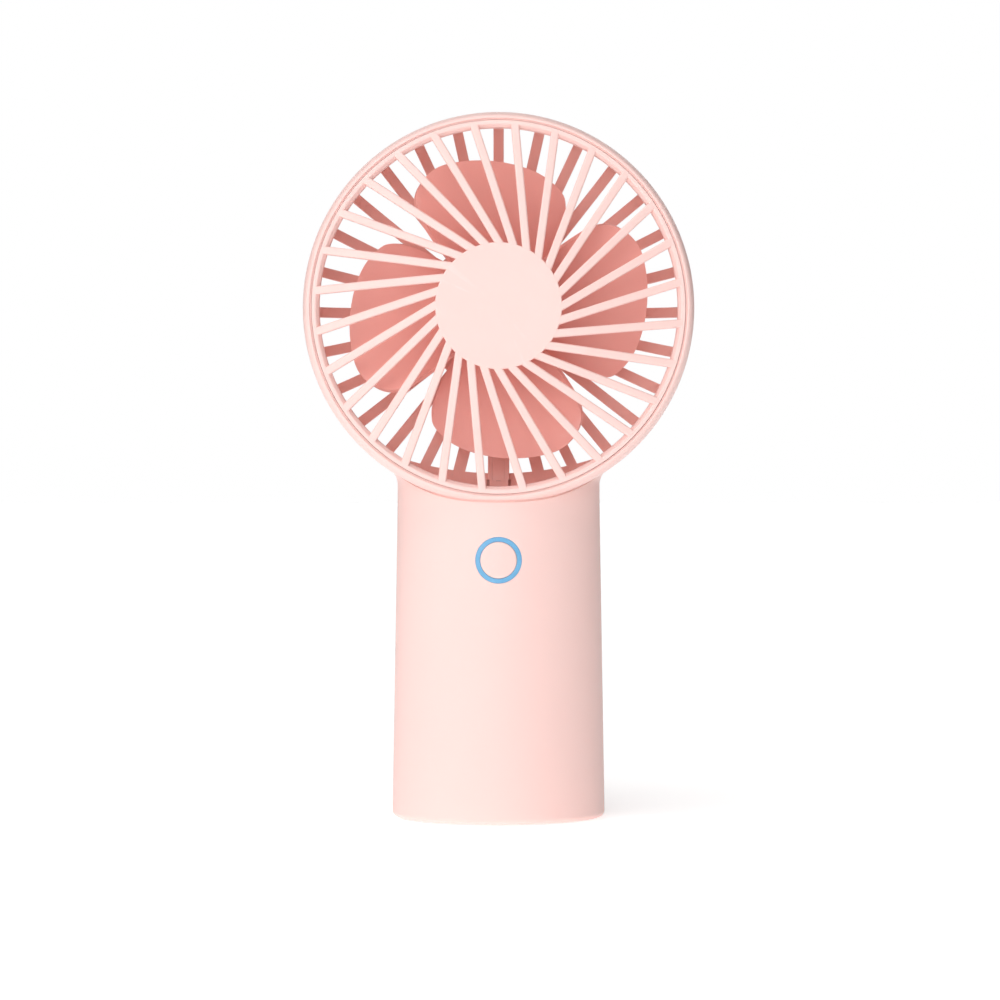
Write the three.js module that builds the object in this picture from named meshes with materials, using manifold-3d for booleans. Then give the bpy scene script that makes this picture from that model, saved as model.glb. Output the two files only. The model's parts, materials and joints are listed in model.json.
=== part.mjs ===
// A handheld fan: a round head with a swirl grille on an oval handle, run by a small motor whose
// magnets turn round its coils.
// Millimetres. The front faces -Y, +Z is up, and the origin is under the middle of the base.
import * as THREE from "three";
import { mergeVertices } from "three/addons/utils/BufferGeometryUtils.js";
import Module from "manifold-3d";

const wasm = await Module();
wasm.setup();

// ---------------------------------------------------------------- driving dimensions
const GAP = 0.3; // between neighbouring pieces

// Head
const HEAD_HEIGHT = 126.75; // fan axis above the ground
const HEAD_RADIUS = 48;
const HEAD_FRONT = -18.6; // lip and grille ring
const HEAD_SPLIT = 0; // back edge of the shell, where the rear guard begins
const HEAD_WALL = 1.8;
const LIP_DEPTH = 5; // rounding from the lip to the widest part
const SEAM_RADIUS = 45.75; // between the lip and the grille ring
const SPIGOT_LENGTH = 2; // the rear guard's rim inside the shell

// Front grille
const SPOKES = 28;
const DISC_FRONT = -23.5;
const DISC_RADIUS = 15.35;
const DISC_THICKNESS = 2.2;
const DISC_EDGE = 1.5; // width of the thick edge behind the disc
const DISC_RECESS = 0.8; // hollow inside that edge
const SPOKE_WIDTH = 2;
const SPOKE_THICKNESS = 2.4;
const SPOKE_OFFSET = 7.9; // each spoke's line passes this far from the axis
const SPOKE_START = 17.9; // direction of the first spoke, degrees
const RING_FLAT_RADIUS = 44.55;
const RING_INNER_RADIUS = 43.7;
const RING_DEPTH = 5.2;
const RING_CORNER = 0.2;

// Rear guard
const GUARD_FRONT = 0.5; // front of the bars at the rim
const GUARD_DEPTH = 9.6; // of the bowl
const GUARD_THICKNESS = 2.2;
const GUARD_RIM = 46.5; // bore of the rim
const BAR_WIDTH = 2.6;
const NEXT_BAR_ANGLE = 14; // of the two bars beside the duct, from straight down
const NEXT_BAR_WIDTH = 3;
const RIM_CLEARANCE = 0.15; // each side of the rim's spigot in the shell
const BOSS_RADIUS = 19.5;
const BOSS_BORE = 5.4;
const BOSS_BACK = 14;
const BOSS_RECESS = 2.6;
const CAP_RADIUS = 15;
const CAP_CROWN = 0.8; // how far the cap's middle stands behind the boss
const FOOT_TOP = -40.6; // top edge of the solid foot, from the fan axis
const FOOT_EDGE_RADIUS = 80; // of that edge
const FOOT_HALF_WIDTH = 29.5;
const FOOT_INSET = 0.1; // of the solid foot behind the faces of the bars
const DUCT_WIDTH = 5.4;
const DUCT_BORE = 3.2;
const DUCT_RISE = 2.4; // how far the duct stands in front of the bars
const DUCT_END = 42.6; // end of the groove, from the fan axis
const DUCT_LID = 0.6; // thickness of the duct's cover
const DROP = { front: 2.8, back: 6.4, top: -41.4, bottom: -49 }; // the duct's way down
// Radii where the curve of the bars, and of the duct, is followed.
const BOWL_RADII = [BOSS_RADIUS - 1, 30, 38, 42.5, 45.4, GUARD_RIM];
const DUCT_RADII = BOWL_RADII.slice(0, -1);

// Impeller
const BLADES = 4;
const HUB_RADIUS = 14.6;
const HUB_FRONT = -15.8;
const HUB_BACK = 0.4;
const HUB_WALL = 1.1;
const BLADE_FRONT = -15; // trailing edge
const BLADE_BACK = -2.4; // leading edge
const BLADE_THICKNESS = 1.3;
// Angles round the axis of the first blade's two edges, at the root and where they meet the tip.
const BLADE_LEADING_ANGLES = [45.5, 56];
const BLADE_TRAILING_ANGLES = [137.5, 131];
// The tip from the leading to the trailing edge: share of the width, and radius.
const BLADE_TIP = [
  [0, 29],
  [0.03, 31.4],
  [0.08, 33.3],
  [0.22, 35.3],
  [0.42, 36.5],
  [0.65, 37.6],
  [0.78, 37.8],
  [0.89, 35.9],
  [0.96, 33.3],
  [1, 29.5],
];
const BLADE_CAMBER = 1.5;

// Motor
const SHAFT_RADIUS = 1;
const BUSH_RADIUS = 2.4;
const CUP_RADIUS = 13.1;
const MAGNET_RADIUS = 12.2;
const MAGNET_BORE = 10.9;
const STATOR_RADIUS = 10.3;
const TEETH = 6;
const STATOR_FRONT = -10;
const STATOR_BACK = -3.4;
const MOTOR_SEAT = 9.2; // front face of the guard's boss
const SCREW_CIRCLE = 8.2;
const SCREW_ANGLES = [30, 150, 270];
const SCREW_HOLE = 1.2; // radius in the guard
const SCREW_PILOT = 1; // radius in the motor base
const CUP_WALL = 0.6;
const CUP_BACK = -1.6;
const COIL_OVERHANG = 1.1; // of a winding past the ends of its tooth
const FLANGE_RADIUS = 10.6;
const MOTOR_BOARD_FRONT = 3.4;

// Handle
const BASE_CLEARANCE = 0.4; // shell above the ground, standing on its pad
const BASE_HALF_WIDTH = 26.6;
const BASE_HALF_DEPTH = 18.6;
const TAPER_HEIGHT = 80;
const TOP_HALF_WIDTH = 25.3;
const TOP_HALF_DEPTH = 17.7;
const BASE_FILLET = 1.5;
const NECK_FILLET = 5;
const SHOULDER_START = 71; // where the back of the handle begins to round forwards
const SHOULDER_TOP = 86;
const HANDLE_WALL = 1.8;
const RIM_WALL = 2.2;
const RIM_HEIGHT = 4.2;
const CEILING = 77.5;
const POST_X = 22.2; // screw posts of the base
const POST_TOP = 14.6;
const POST_RADIUS = 2.7;
const POST_PILOT = 0.9;
const WIRE_WAY = { halfWidth: 2.2, front: 2.6, back: 6.8, top: 92 }; // through the ceiling
const PAD_HALF_WIDTH = 16.8;
const PAD_HALF_DEPTH = 12.6;
const PAD_THICKNESS = 1.4;

// Button
const BUTTON_HEIGHT = 65;
const LIGHT_RADIUS = 5.6;
const LIGHT_BORE = 4.55;
const CAP_GAP = 0.15;
const BUTTON_FLANGE = { radius: 5.4, front: -13.2, back: -12.4 };
const LIGHT_COLLAR = { radius: 6.6, front: -14.8, back: -14 };
const LIGHT_BACK = -13.5;

// Battery and boards
const CELL_RADIUS = 9.15;
const CELL_X = 9.6;
const CELL_Y = 3.6;
const CELL_BOTTOM = 20;
const CELL_TOP = 70;
const PLATE = 4; // thickness of the carrier's end plates
const BOARD_FRONT = -8.4;
const BOARD_THICKNESS = 1.2;
const BOARD_HALF_WIDTH = 14;
const BOARD_SCREW_X = 10;
const BOARD_BOTTOM = 13.5;
const BOARD_TOP = 75.4;
const STRIP = { halfLength: 13, halfWidth: 2.5, thickness: 0.2 }; // nickel, across the cells
const LEAD_RADIUS = 0.3;
const LEAD_X = 4;
const FOAM_PAD = { halfWidth: 12, bottom: 30, top: 60 };
const SWITCH = { halfSide: 3, front: -11.4, bore: 1.9 };
const PLUNGER = { radius: 1.6, front: -12.1, back: -10 };
const CABLE_RADIUS = 0.6;

// USB socket
const USB_HEIGHT = 9;
const USB_WIDTH = 8.9;
const USB_THICKNESS = 3.2;
const USB_FRONT = 11.2;
const USB_BACK = 17.9;
const USB_METAL = 0.4;
const USB_BOARD = { halfWidth: 9, front: 3, back: 15 };
const USB_TONGUE = { halfWidth: 3.2, halfHeight: 0.35, back: 17 };

// Roundness
const HEAD_SIDES = 56;
const FOOT_EDGE_SIDES = 96;
const HANDLE_SIDES = 40;
const BORE_SIDES = 12;
const SMALL_SIDES = 20;
const MOTOR_SIDES = 28;

// ---------------------------------------------------------------- materials
function finish(color, roughness, metalness = 0) {
  return new THREE.MeshStandardMaterial({ color, roughness, metalness });
}
const BLUSH = finish(0xfbdcd5, 0.5);
const CORAL = finish(0xe48b80, 0.5);
const LIGHT = finish(0x73b9e8, 0.35);
const STEEL = finish(0xb9bcc0, 0.35, 1);
const BRONZE = finish(0xa9793f, 0.45, 1);
const COPPER = finish(0xb8683a, 0.4, 1);
const NICKEL = finish(0xc8c6bd, 0.3, 1);
const FERRITE = finish(0x3a3a3d, 0.7);
const BOARD = finish(0x1f5b3a, 0.6);
const CHIP = finish(0x1b1b1e, 0.5);
const RUBBER = finish(0xe6bdb6, 0.85);
const WHITE = finish(0xeeeeea, 0.6);
const WRAP = finish(0x4f8f86, 0.45);
const FOAM = finish(0x8d8d8f, 0.95);
const WIRE = finish(0x2b2b2e, 0.6);
const RED_WIRE = finish(0xb32b2b, 0.6);

// ---------------------------------------------------------------- solids
const radians = THREE.MathUtils.degToRad;

// A closed geometry as a manifold solid that faces out.
function solidOf(geometry) {
  const bare = geometry.index ? geometry.toNonIndexed() : geometry.clone();
  bare.deleteAttribute("normal");
  bare.deleteAttribute("uv");
  const merged = mergeVertices(bare, 1e-4);
  const build = (triVerts) =>
    new wasm.Manifold(
      new wasm.Mesh({
        numProp: 3,
        vertProperties: merged.attributes.position.array,
        triVerts,
      }),
    );
  const triangles = Uint32Array.from(merged.index.array);
  const solid = build(triangles);
  return solid.volume() > 0 ? solid : build(triangles.reverse());
}

function geometryOf(solid) {
  const mesh = solid.getMesh();
  const points = new THREE.BufferAttribute(mesh.vertProperties, 3);
  const geometry = new THREE.BufferGeometry().setAttribute("position", points);
  geometry.setIndex(new THREE.BufferAttribute(mesh.triVerts, 1));
  geometry.computeVertexNormals();
  return geometry;
}

function joined(solids) {
  return solids.reduce((sum, solid) => sum.add(solid));
}

// A box from its lowest and highest corners.
function box([x0, y0, z0], [x1, y1, z1]) {
  const geometry = new THREE.BoxGeometry(x1 - x0, y1 - y0, z1 - z0);
  return solidOf(geometry.translate((x0 + x1) / 2, (y0 + y1) / 2, (z0 + z1) / 2));
}

// A solid of revolution about the Y axis from [radius, y] points, closed on itself or on the axis.
function turned(profile, sides = SMALL_SIDES) {
  const points = profile.map(([radius, y]) => new THREE.Vector2(radius, y));
  const onAxis = profile[0][0] === 0 && profile.at(-1)[0] === 0;
  if (!onAxis) points.push(points[0].clone());
  return solidOf(new THREE.LatheGeometry(points, sides));
}

// A disc or ring about the Y axis.
function ring(outer, inner, y0, y1, sides = SMALL_SIDES) {
  const bore = inner > 0 ? [[inner, y1], [inner, y0]] : [[0, y1]];
  const start = inner > 0 ? [] : [[0, y0]];
  return turned([...start, [outer, y0], [outer, y1], ...bore], sides);
}

// The same about a vertical axis.
function upright(outer, inner, z0, z1, sides = SMALL_SIDES) {
  return ring(outer, inner, -z1, -z0, sides).rotate([-90, 0, 0]);
}

// A solid between level rings of points, listed from the bottom up, each with the same count.
function loft(rings) {
  const count = rings[0].length;
  const points = rings.flat();
  const index = [];
  for (let row = 0; row < rings.length - 1; row++) {
    for (let i = 0; i < count; i++) {
      const a = row * count + i;
      const b = row * count + ((i + 1) % count);
      index.push(a, b, b + count, a, b + count, a + count);
    }
  }
  const top = (rings.length - 1) * count;
  for (let i = 1; i < count - 1; i++) {
    index.push(0, i + 1, i);
    index.push(top, top + i, top + i + 1);
  }
  const geometry = new THREE.BufferGeometry().setFromPoints(points);
  return solidOf(geometry.setIndex(index));
}

// A closed sheet with a front and a back face over a grid of (u, v) from 0 to 1.
function sheet(columns, rows, front, back) {
  const points = [];
  for (const face of [front, back]) {
    for (let i = 0; i <= columns; i++) {
      for (let j = 0; j <= rows; j++) points.push(face(i / columns, j / rows));
    }
  }
  const at = (side, i, j) => side * (columns + 1) * (rows + 1) + i * (rows + 1) + j;
  const index = [];
  const quad = (a, b, c, d) => index.push(a, b, c, a, c, d);
  for (let i = 0; i < columns; i++) {
    for (let j = 0; j < rows; j++) {
      quad(at(0, i, j), at(0, i + 1, j), at(0, i + 1, j + 1), at(0, i, j + 1));
      quad(at(1, i, j), at(1, i, j + 1), at(1, i + 1, j + 1), at(1, i + 1, j));
    }
    quad(at(0, i, 0), at(1, i, 0), at(1, i + 1, 0), at(0, i + 1, 0));
    quad(at(0, i + 1, rows), at(1, i + 1, rows), at(1, i, rows), at(0, i, rows));
  }
  for (let j = 0; j < rows; j++) {
    quad(at(0, 0, j + 1), at(1, 0, j + 1), at(1, 0, j), at(0, 0, j));
    quad(at(0, columns, j), at(1, columns, j), at(1, columns, j + 1), at(0, columns, j + 1));
  }
  const geometry = new THREE.BufferGeometry().setFromPoints(points);
  return solidOf(geometry.setIndex(index));
}

// A round wire along a smooth curve through [x, y, z] points.
function wire(points, radius, steps) {
  const outline = new THREE.Shape().absarc(0, 0, radius, 0, 2 * Math.PI);
  const path = new THREE.CatmullRomCurve3(points.map((p) => new THREE.Vector3(...p)));
  const options = { extrudePath: path, steps, curveSegments: 4, bevelEnabled: false };
  return solidOf(new THREE.ExtrudeGeometry(outline, options));
}

// A level oval plate.
function ovalPlate(halfWidth, halfDepth, z0, z1) {
  const oval = (z) => ovalRing(halfWidth, halfDepth, halfDepth, z);
  return loft([oval(z0), oval(z1)]);
}

// ---------------------------------------------------------------- shapes that several pieces share

// A ring of points round the handle at one height; its front and back may differ in depth.
function ovalRing(halfWidth, frontDepth, backDepth, z) {
  const points = [];
  for (let i = 0; i < HANDLE_SIDES; i++) {
    const angle = (2 * Math.PI * i) / HANDLE_SIDES;
    const depth = Math.sin(angle) < 0 ? frontDepth : backDepth;
    const x = halfWidth * Math.cos(angle);
    points.push(new THREE.Vector3(x, depth * Math.sin(angle), z));
  }
  return points;
}

function mix(a, b, share) {
  return a + (b - a) * share;
}

function handleWidthAt(z) {
  const straight = mix(BASE_HALF_WIDTH, TOP_HALF_WIDTH, Math.min(z / TAPER_HEIGHT, 1));
  const centreX = TOP_HALF_WIDTH + NECK_FILLET;
  const centreZ = HEAD_HEIGHT - Math.sqrt((HEAD_RADIUS + NECK_FILLET) ** 2 - centreX ** 2);
  const rise = Math.min(z - centreZ, 0.9 * NECK_FILLET);
  if (rise <= 0) return straight;
  return centreX - Math.sqrt(NECK_FILLET ** 2 - rise ** 2);
}

function handleDepthAt(z) {
  return mix(BASE_HALF_DEPTH, TOP_HALF_DEPTH, Math.min(z / TAPER_HEIGHT, 1));
}

// How far the back reaches where it rounds forwards under the head.
function shoulderAt(z) {
  const share = (z - SHOULDER_START) / (SHOULDER_TOP - SHOULDER_START);
  if (share <= 0) return handleDepthAt(z);
  return Math.max(handleDepthAt(z) * Math.sqrt(Math.max(1 - share ** 2.4, 0)), 1);
}

// The handle's outside, or a shape inset from it.
function handleSolid(heights, inset) {
  const rings = heights.map((z) => {
    const above = Math.max(BASE_CLEARANCE + BASE_FILLET - z, 0);
    const fillet = inset > 0 ? 0 : BASE_FILLET - Math.sqrt(BASE_FILLET ** 2 - above ** 2);
    const less = inset + fillet;
    return ovalRing(handleWidthAt(z) - less, handleDepthAt(z) - less, shoulderAt(z) - less, z);
  });
  return loft(rings);
}

function handleOutside() {
  const filletSteps = [0, 0.12, 0.4, 1];
  const heights = filletSteps.map((share) => BASE_CLEARANCE + BASE_FILLET * share);
  heights.push(SHOULDER_START, 76, 80, 83, 85, SHOULDER_TOP, 87.6);
  return handleSolid(heights, 0);
}

// Depth of the guard's bowl at a radius.
function bowlAt(radius) {
  return GUARD_FRONT + GUARD_DEPTH * Math.sqrt(1 - (radius / (GUARD_RIM + 0.2)) ** 2);
}

// Front of the domed grille at a radius.
function domeAt(radius) {
  const edge = SEAM_RADIUS - 0.75;
  const share = (radius ** 2 - DISC_RADIUS ** 2) / (edge ** 2 - DISC_RADIUS ** 2);
  return mix(DISC_FRONT, HEAD_FRONT, Math.min(Math.max(share, 0), 1));
}

// A turned skin between two depths that follow the radius.
function turnedSkin(radii, front, thickness) {
  const face = radii.map((r) => [r, front(r)]);
  const back = radii.map((r) => [r, front(r) + thickness]).reverse();
  return turned([...face, ...back], HEAD_SIDES);
}

// A bar that runs out from the axis at an angle in degrees from +X to +Z. Its line passes the axis
// at an offset, and its outline has [distance along the line, y] points.
function spoke(angle, offset, width, outline) {
  const shape = new THREE.Shape(outline.map(([along, y]) => new THREE.Vector2(along, y)));
  const geometry = new THREE.ExtrudeGeometry(shape, { depth: width, bevelEnabled: false });
  return solidOf(geometry.translate(0, 0, -offset - width / 2)).rotate([0, -angle, 0]);
}

// The outline of a bar between two depths that follow the radius.
function bentOutline(distances, offset, front, thickness) {
  const face = distances.map((along) => [along, front(Math.hypot(along, offset))]);
  const back = face.map(([along, y]) => [along, y + thickness]).reverse();
  return [...face, ...back];
}

function squareOutline(start, end, y0, y1) {
  return [
    [start, y0],
    [end, y0],
    [end, y1],
    [start, y1],
  ];
}

// ---------------------------------------------------------------- shell

function headDrum() {
  const lip = [];
  const lipSteps = 4;
  for (let i = 0; i <= lipSteps; i++) {
    const angle = (Math.PI / 2) * (i / lipSteps);
    const inner = SEAM_RADIUS + GAP / 2;
    const radius = mix(inner + 0.2, HEAD_RADIUS, Math.sin(angle));
    lip.push([radius, HEAD_FRONT + LIP_DEPTH * (1 - Math.cos(angle))]);
  }
  const wall = HEAD_RADIUS - HEAD_WALL;
  const rebate = HEAD_RADIUS - HEAD_WALL / 2;
  return turned(
    [
      [SEAM_RADIUS + GAP / 2, HEAD_FRONT + 0.2],
      ...lip,
      [HEAD_RADIUS, HEAD_SPLIT],
      [rebate, HEAD_SPLIT],
      [rebate, HEAD_SPLIT - SPIGOT_LENGTH],
      [wall, HEAD_SPLIT - SPIGOT_LENGTH],
      [wall, HEAD_FRONT + RING_DEPTH + 1],
      [SEAM_RADIUS + GAP / 2, HEAD_FRONT + RING_DEPTH],
    ],
    HEAD_SIDES,
  ).translate([0, 0, HEAD_HEIGHT]);
}

// Room for the guard's outside, cut from the top of the handle.
function guardRoom() {
  const radii = [0, 16, 28, 37, 42, 45, GUARD_RIM];
  const bowl = radii.map((r) => [r, bowlAt(r) + GUARD_THICKNESS + GAP]);
  const profile = [
    [0, HEAD_SPLIT - SPIGOT_LENGTH],
    [HEAD_RADIUS - HEAD_WALL / 2, HEAD_SPLIT - SPIGOT_LENGTH],
    [HEAD_RADIUS - HEAD_WALL / 2, HEAD_SPLIT],
    [HEAD_RADIUS + GAP, HEAD_SPLIT],
    [HEAD_RADIUS + GAP, GUARD_FRONT + GUARD_THICKNESS + GAP],
    ...bowl.reverse(),
  ];
  return turned(profile, HEAD_SIDES).translate([0, 0, HEAD_HEIGHT]);
}

function usbOpening() {
  const halfWidth = USB_WIDTH / 2 + GAP;
  const halfHeight = USB_THICKNESS / 2 + GAP;
  return box(
    [-halfWidth, 10, USB_HEIGHT - halfHeight],
    [halfWidth, 25, USB_HEIGHT + halfHeight],
  );
}

function bodyShell() {
  const wall = HEAD_RADIUS - HEAD_WALL;
  const bore = ring(wall, 0, -30, HEAD_SPLIT, HEAD_SIDES).translate([0, 0, HEAD_HEIGHT]);
  const neck = handleOutside().subtract(bore).subtract(guardRoom());
  const cavity = handleSolid([RIM_HEIGHT, 40, SHOULDER_START, 74, CEILING], HANDLE_WALL);
  const mouth = handleSolid([-1, RIM_HEIGHT + 0.1], RIM_WALL);
  const button = ring(LIGHT_RADIUS + CAP_GAP, 0, -25, -10).translate([0, 0, BUTTON_HEIGHT]);
  const wireWay = box(
    [-WIRE_WAY.halfWidth, WIRE_WAY.front, CEILING - 1],
    [WIRE_WAY.halfWidth, WIRE_WAY.back, WIRE_WAY.top],
  );
  const posts = [-1, 1].map((side) =>
    upright(POST_RADIUS, 0, RIM_HEIGHT, POST_TOP).translate([side * POST_X, 0, 0]),
  );
  const pilots = [-1, 1].map((side) =>
    upright(POST_PILOT, 0, RIM_HEIGHT - 1, POST_TOP + 1).translate([side * POST_X, 0, 0]),
  );
  return neck
    .subtract(cavity)
    .subtract(mouth)
    .add(headDrum())
    .add(joined(posts))
    .subtract(joined(pilots))
    .subtract(button)
    .subtract(usbOpening())
    .subtract(wireWay);
}

// ---------------------------------------------------------------- grille and guard

function frontGrille() {
  const outer = SEAM_RADIUS - GAP / 2;
  const rim = turned(
    [
      [RING_INNER_RADIUS, HEAD_FRONT + 2],
      [RING_INNER_RADIUS + 0.15, HEAD_FRONT + 0.9],
      [RING_FLAT_RADIUS, HEAD_FRONT],
      [outer - RING_CORNER, HEAD_FRONT],
      [outer, HEAD_FRONT + RING_CORNER],
      [outer, HEAD_FRONT + RING_DEPTH],
      [RING_INNER_RADIUS + 0.5, HEAD_FRONT + RING_DEPTH],
    ],
    HEAD_SIDES,
  );
  const disc = turned(
    [
      [0, DISC_FRONT],
      [DISC_RADIUS, DISC_FRONT],
      [DISC_RADIUS, DISC_FRONT + DISC_THICKNESS],
      [DISC_RADIUS - DISC_EDGE, DISC_FRONT + DISC_THICKNESS],
      [DISC_RADIUS - DISC_EDGE, DISC_FRONT + DISC_THICKNESS - DISC_RECESS],
      [0, DISC_FRONT + DISC_THICKNESS - DISC_RECESS],
    ],
    HEAD_SIDES,
  );
  const start = Math.sqrt((DISC_RADIUS - 0.8) ** 2 - SPOKE_OFFSET ** 2);
  const end = Math.sqrt((outer - 0.6) ** 2 - SPOKE_OFFSET ** 2);
  const stations = [start, 0.6 * start + 0.4 * end, 0.3 * start + 0.7 * end, end];
  const outline = bentOutline(stations, SPOKE_OFFSET, domeAt, SPOKE_THICKNESS);
  const bars = [];
  for (let i = 0; i < SPOKES; i++) {
    const angle = SPOKE_START + (360 * i) / SPOKES;
    bars.push(spoke(angle, SPOKE_OFFSET, SPOKE_WIDTH, outline));
  }
  return joined(bars).add(disc).add(rim);
}

// The part of the guard that is solid, where it stands on the handle.
function guardFoot() {
  const front = (radius) => bowlAt(radius) + FOOT_INSET;
  const skin = turnedSkin(BOWL_RADII, front, GUARD_THICKNESS - 2 * FOOT_INSET);
  const window = ring(FOOT_EDGE_RADIUS, 0, -5, 20, FOOT_EDGE_SIDES);
  return box([-FOOT_HALF_WIDTH, -1, -HEAD_RADIUS], [FOOT_HALF_WIDTH, 20, 0])
    .subtract(window.translate([0, 0, FOOT_TOP + FOOT_EDGE_RADIUS]))
    .intersect(skin);
}

function ductFront(radius) {
  return bowlAt(radius) - DUCT_RISE;
}

function rearGuard() {
  const outline = bentOutline(BOWL_RADII, 0, bowlAt, GUARD_THICKNESS);
  const bars = [];
  for (let i = 0; i < SPOKES; i++) {
    const besideDuct = Math.abs(i - SPOKES / 2) === 1;
    if (!besideDuct) bars.push(spoke(90 + (360 * i) / SPOKES, 0, BAR_WIDTH, outline));
  }
  for (const side of [-1, 1]) {
    bars.push(spoke(270 + side * NEXT_BAR_ANGLE, 0, NEXT_BAR_WIDTH, outline));
  }
  const spigotInside = HEAD_RADIUS - HEAD_WALL + RIM_CLEARANCE;
  const spigotOutside = HEAD_RADIUS - HEAD_WALL / 2 - RIM_CLEARANCE;
  const rim = turned(
    [
      [GUARD_RIM, GUARD_FRONT],
      [spigotInside, HEAD_SPLIT + GAP],
      [spigotInside, HEAD_SPLIT - SPIGOT_LENGTH + GAP],
      [spigotOutside, HEAD_SPLIT - SPIGOT_LENGTH + GAP],
      [spigotOutside, HEAD_SPLIT + GAP],
      [HEAD_RADIUS - 0.2, HEAD_SPLIT + GAP],
      [HEAD_RADIUS, HEAD_SPLIT + GAP + 0.3],
      [HEAD_RADIUS - 0.5, GUARD_FRONT + GUARD_THICKNESS],
      [GUARD_RIM, GUARD_FRONT + GUARD_THICKNESS + 0.6],
    ],
    HEAD_SIDES,
  );
  const boss = turned(
    [
      [BOSS_BORE, MOTOR_SEAT],
      [BOSS_RADIUS, MOTOR_SEAT],
      [BOSS_RADIUS, BOSS_BACK - 1],
      [BOSS_RADIUS - 1, BOSS_BACK],
      [CAP_RADIUS + GAP, BOSS_BACK],
      [CAP_RADIUS + GAP, BOSS_BACK - BOSS_RECESS],
      [BOSS_BORE, BOSS_BACK - BOSS_RECESS],
    ],
    MOTOR_SIDES,
  );
  const ductOutline = bentOutline(DUCT_RADII, 0, ductFront, DUCT_RISE + 0.5);
  const duct = spoke(270, 0, DUCT_WIDTH, ductOutline);
  const screws = SCREW_ANGLES.map((angle) =>
    ring(SCREW_HOLE, 0, 0, 20, BORE_SIDES).translate(aroundAxis(angle, SCREW_CIRCLE)),
  );
  return joined([...bars, guardFoot(), duct, rim, boss])
    .subtract(ductRoom())
    .subtract(joined(screws));
}

// The groove in the duct, open to the front, and its way down into the handle.
function ductRoom() {
  const front = (radius) => ductFront(radius) - 1;
  const outline = bentOutline([BOSS_RADIUS - 1.5, 30, 38, DUCT_END], 0, front, DUCT_RISE + 1);
  const drop = box(
    [-DUCT_BORE / 2, DROP.front, DROP.bottom],
    [DUCT_BORE / 2, DROP.back, DROP.top],
  );
  return spoke(270, 0, DUCT_BORE, outline).add(drop);
}

function ductCover() {
  const radii = [BOSS_RADIUS + 0.4, 30, 38, DUCT_END - CAP_GAP];
  const outline = bentOutline(radii, 0, ductFront, DUCT_LID);
  return spoke(270, 0, DUCT_BORE - 2 * CAP_GAP, outline);
}

function rearCap() {
  return turned(
    [
      [0, BOSS_BACK - 1],
      [CAP_RADIUS, BOSS_BACK - 1],
      [CAP_RADIUS, BOSS_BACK],
      [CAP_RADIUS - CAP_CROWN, BOSS_BACK + 0.6 * CAP_CROWN],
      [0, BOSS_BACK + CAP_CROWN],
    ],
    MOTOR_SIDES,
  );
}

// ---------------------------------------------------------------- impeller

// A point of a blade: u runs from root to tip and v along the tip's list, lifted along the axis.
function bladePoint(u, v, lift) {
  const [share, tip] = BLADE_TIP[Math.round(v * (BLADE_TIP.length - 1))];
  const radius = mix(HUB_RADIUS - 0.6, tip, u);
  const leading = mix(...BLADE_LEADING_ANGLES, u);
  const trailing = mix(...BLADE_TRAILING_ANGLES, u);
  const angle = radians(mix(leading, trailing, share));
  const camber = BLADE_CAMBER * Math.sin(Math.PI * share);
  const depth = mix(BLADE_BACK, BLADE_FRONT, share) + camber + lift;
  return new THREE.Vector3(radius * Math.cos(angle), depth, radius * Math.sin(angle));
}

function impeller() {
  const front = (u, v) => bladePoint(u, v, -BLADE_THICKNESS / 2);
  const back = (u, v) => bladePoint(u, v, BLADE_THICKNESS / 2);
  const blade = sheet(3, BLADE_TIP.length - 1, front, back);
  const blades = [];
  for (let i = 0; i < BLADES; i++) blades.push(blade.rotate([0, (-360 * i) / BLADES, 0]));
  const hub = turned(
    [
      [0, HUB_FRONT],
      [HUB_RADIUS - 1.5, HUB_FRONT],
      [HUB_RADIUS - 0.4, HUB_FRONT + 0.4],
      [HUB_RADIUS, HUB_FRONT + 1.5],
      [HUB_RADIUS, HUB_BACK],
      [HUB_RADIUS - HUB_WALL, HUB_BACK],
      [HUB_RADIUS - HUB_WALL, HUB_FRONT + HUB_WALL],
      [0, HUB_FRONT + HUB_WALL],
    ],
    MOTOR_SIDES,
  );
  const bore = ring(HUB_RADIUS - HUB_WALL, 0, HUB_FRONT + HUB_WALL, 5, MOTOR_SIDES);
  return joined(blades).subtract(bore).add(hub);
}

// ---------------------------------------------------------------- motor

function aroundAxis(angle, radius) {
  return [radius * Math.cos(radians(angle)), 0, radius * Math.sin(radians(angle))];
}

function rotorCup() {
  const front = HUB_FRONT + HUB_WALL + GAP;
  return turned(
    [
      [SHAFT_RADIUS + 0.2, front + 0.4],
      [SHAFT_RADIUS + 0.2, front],
      [CUP_RADIUS, front],
      [CUP_RADIUS, CUP_BACK],
      [CUP_RADIUS - CUP_WALL, CUP_BACK],
      [CUP_RADIUS - CUP_WALL, front + 0.7],
      [3, front + 0.7],
      [3, front + 2.2],
      [SHAFT_RADIUS + 0.2, front + 2.2],
    ],
    MOTOR_SIDES,
  );
}

function statorCore() {
  const yoke = ring(5.4, 3.9, STATOR_FRONT, STATOR_BACK);
  const neck = squareOutline(4.6, STATOR_RADIUS - 0.5, STATOR_FRONT, STATOR_BACK);
  const shoe = squareOutline(8.9, 14, STATOR_FRONT, STATOR_BACK);
  const teeth = [];
  for (let i = 0; i < TEETH; i++) {
    const angle = (360 * i) / TEETH;
    teeth.push(spoke(angle, 0, 1.8, neck));
    teeth.push(spoke(angle, 0, 6.4, shoe));
  }
  const envelope = ring(STATOR_RADIUS, 4.2, STATOR_FRONT, STATOR_BACK, MOTOR_SIDES);
  return joined(teeth).intersect(envelope).add(yoke);
}

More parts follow.
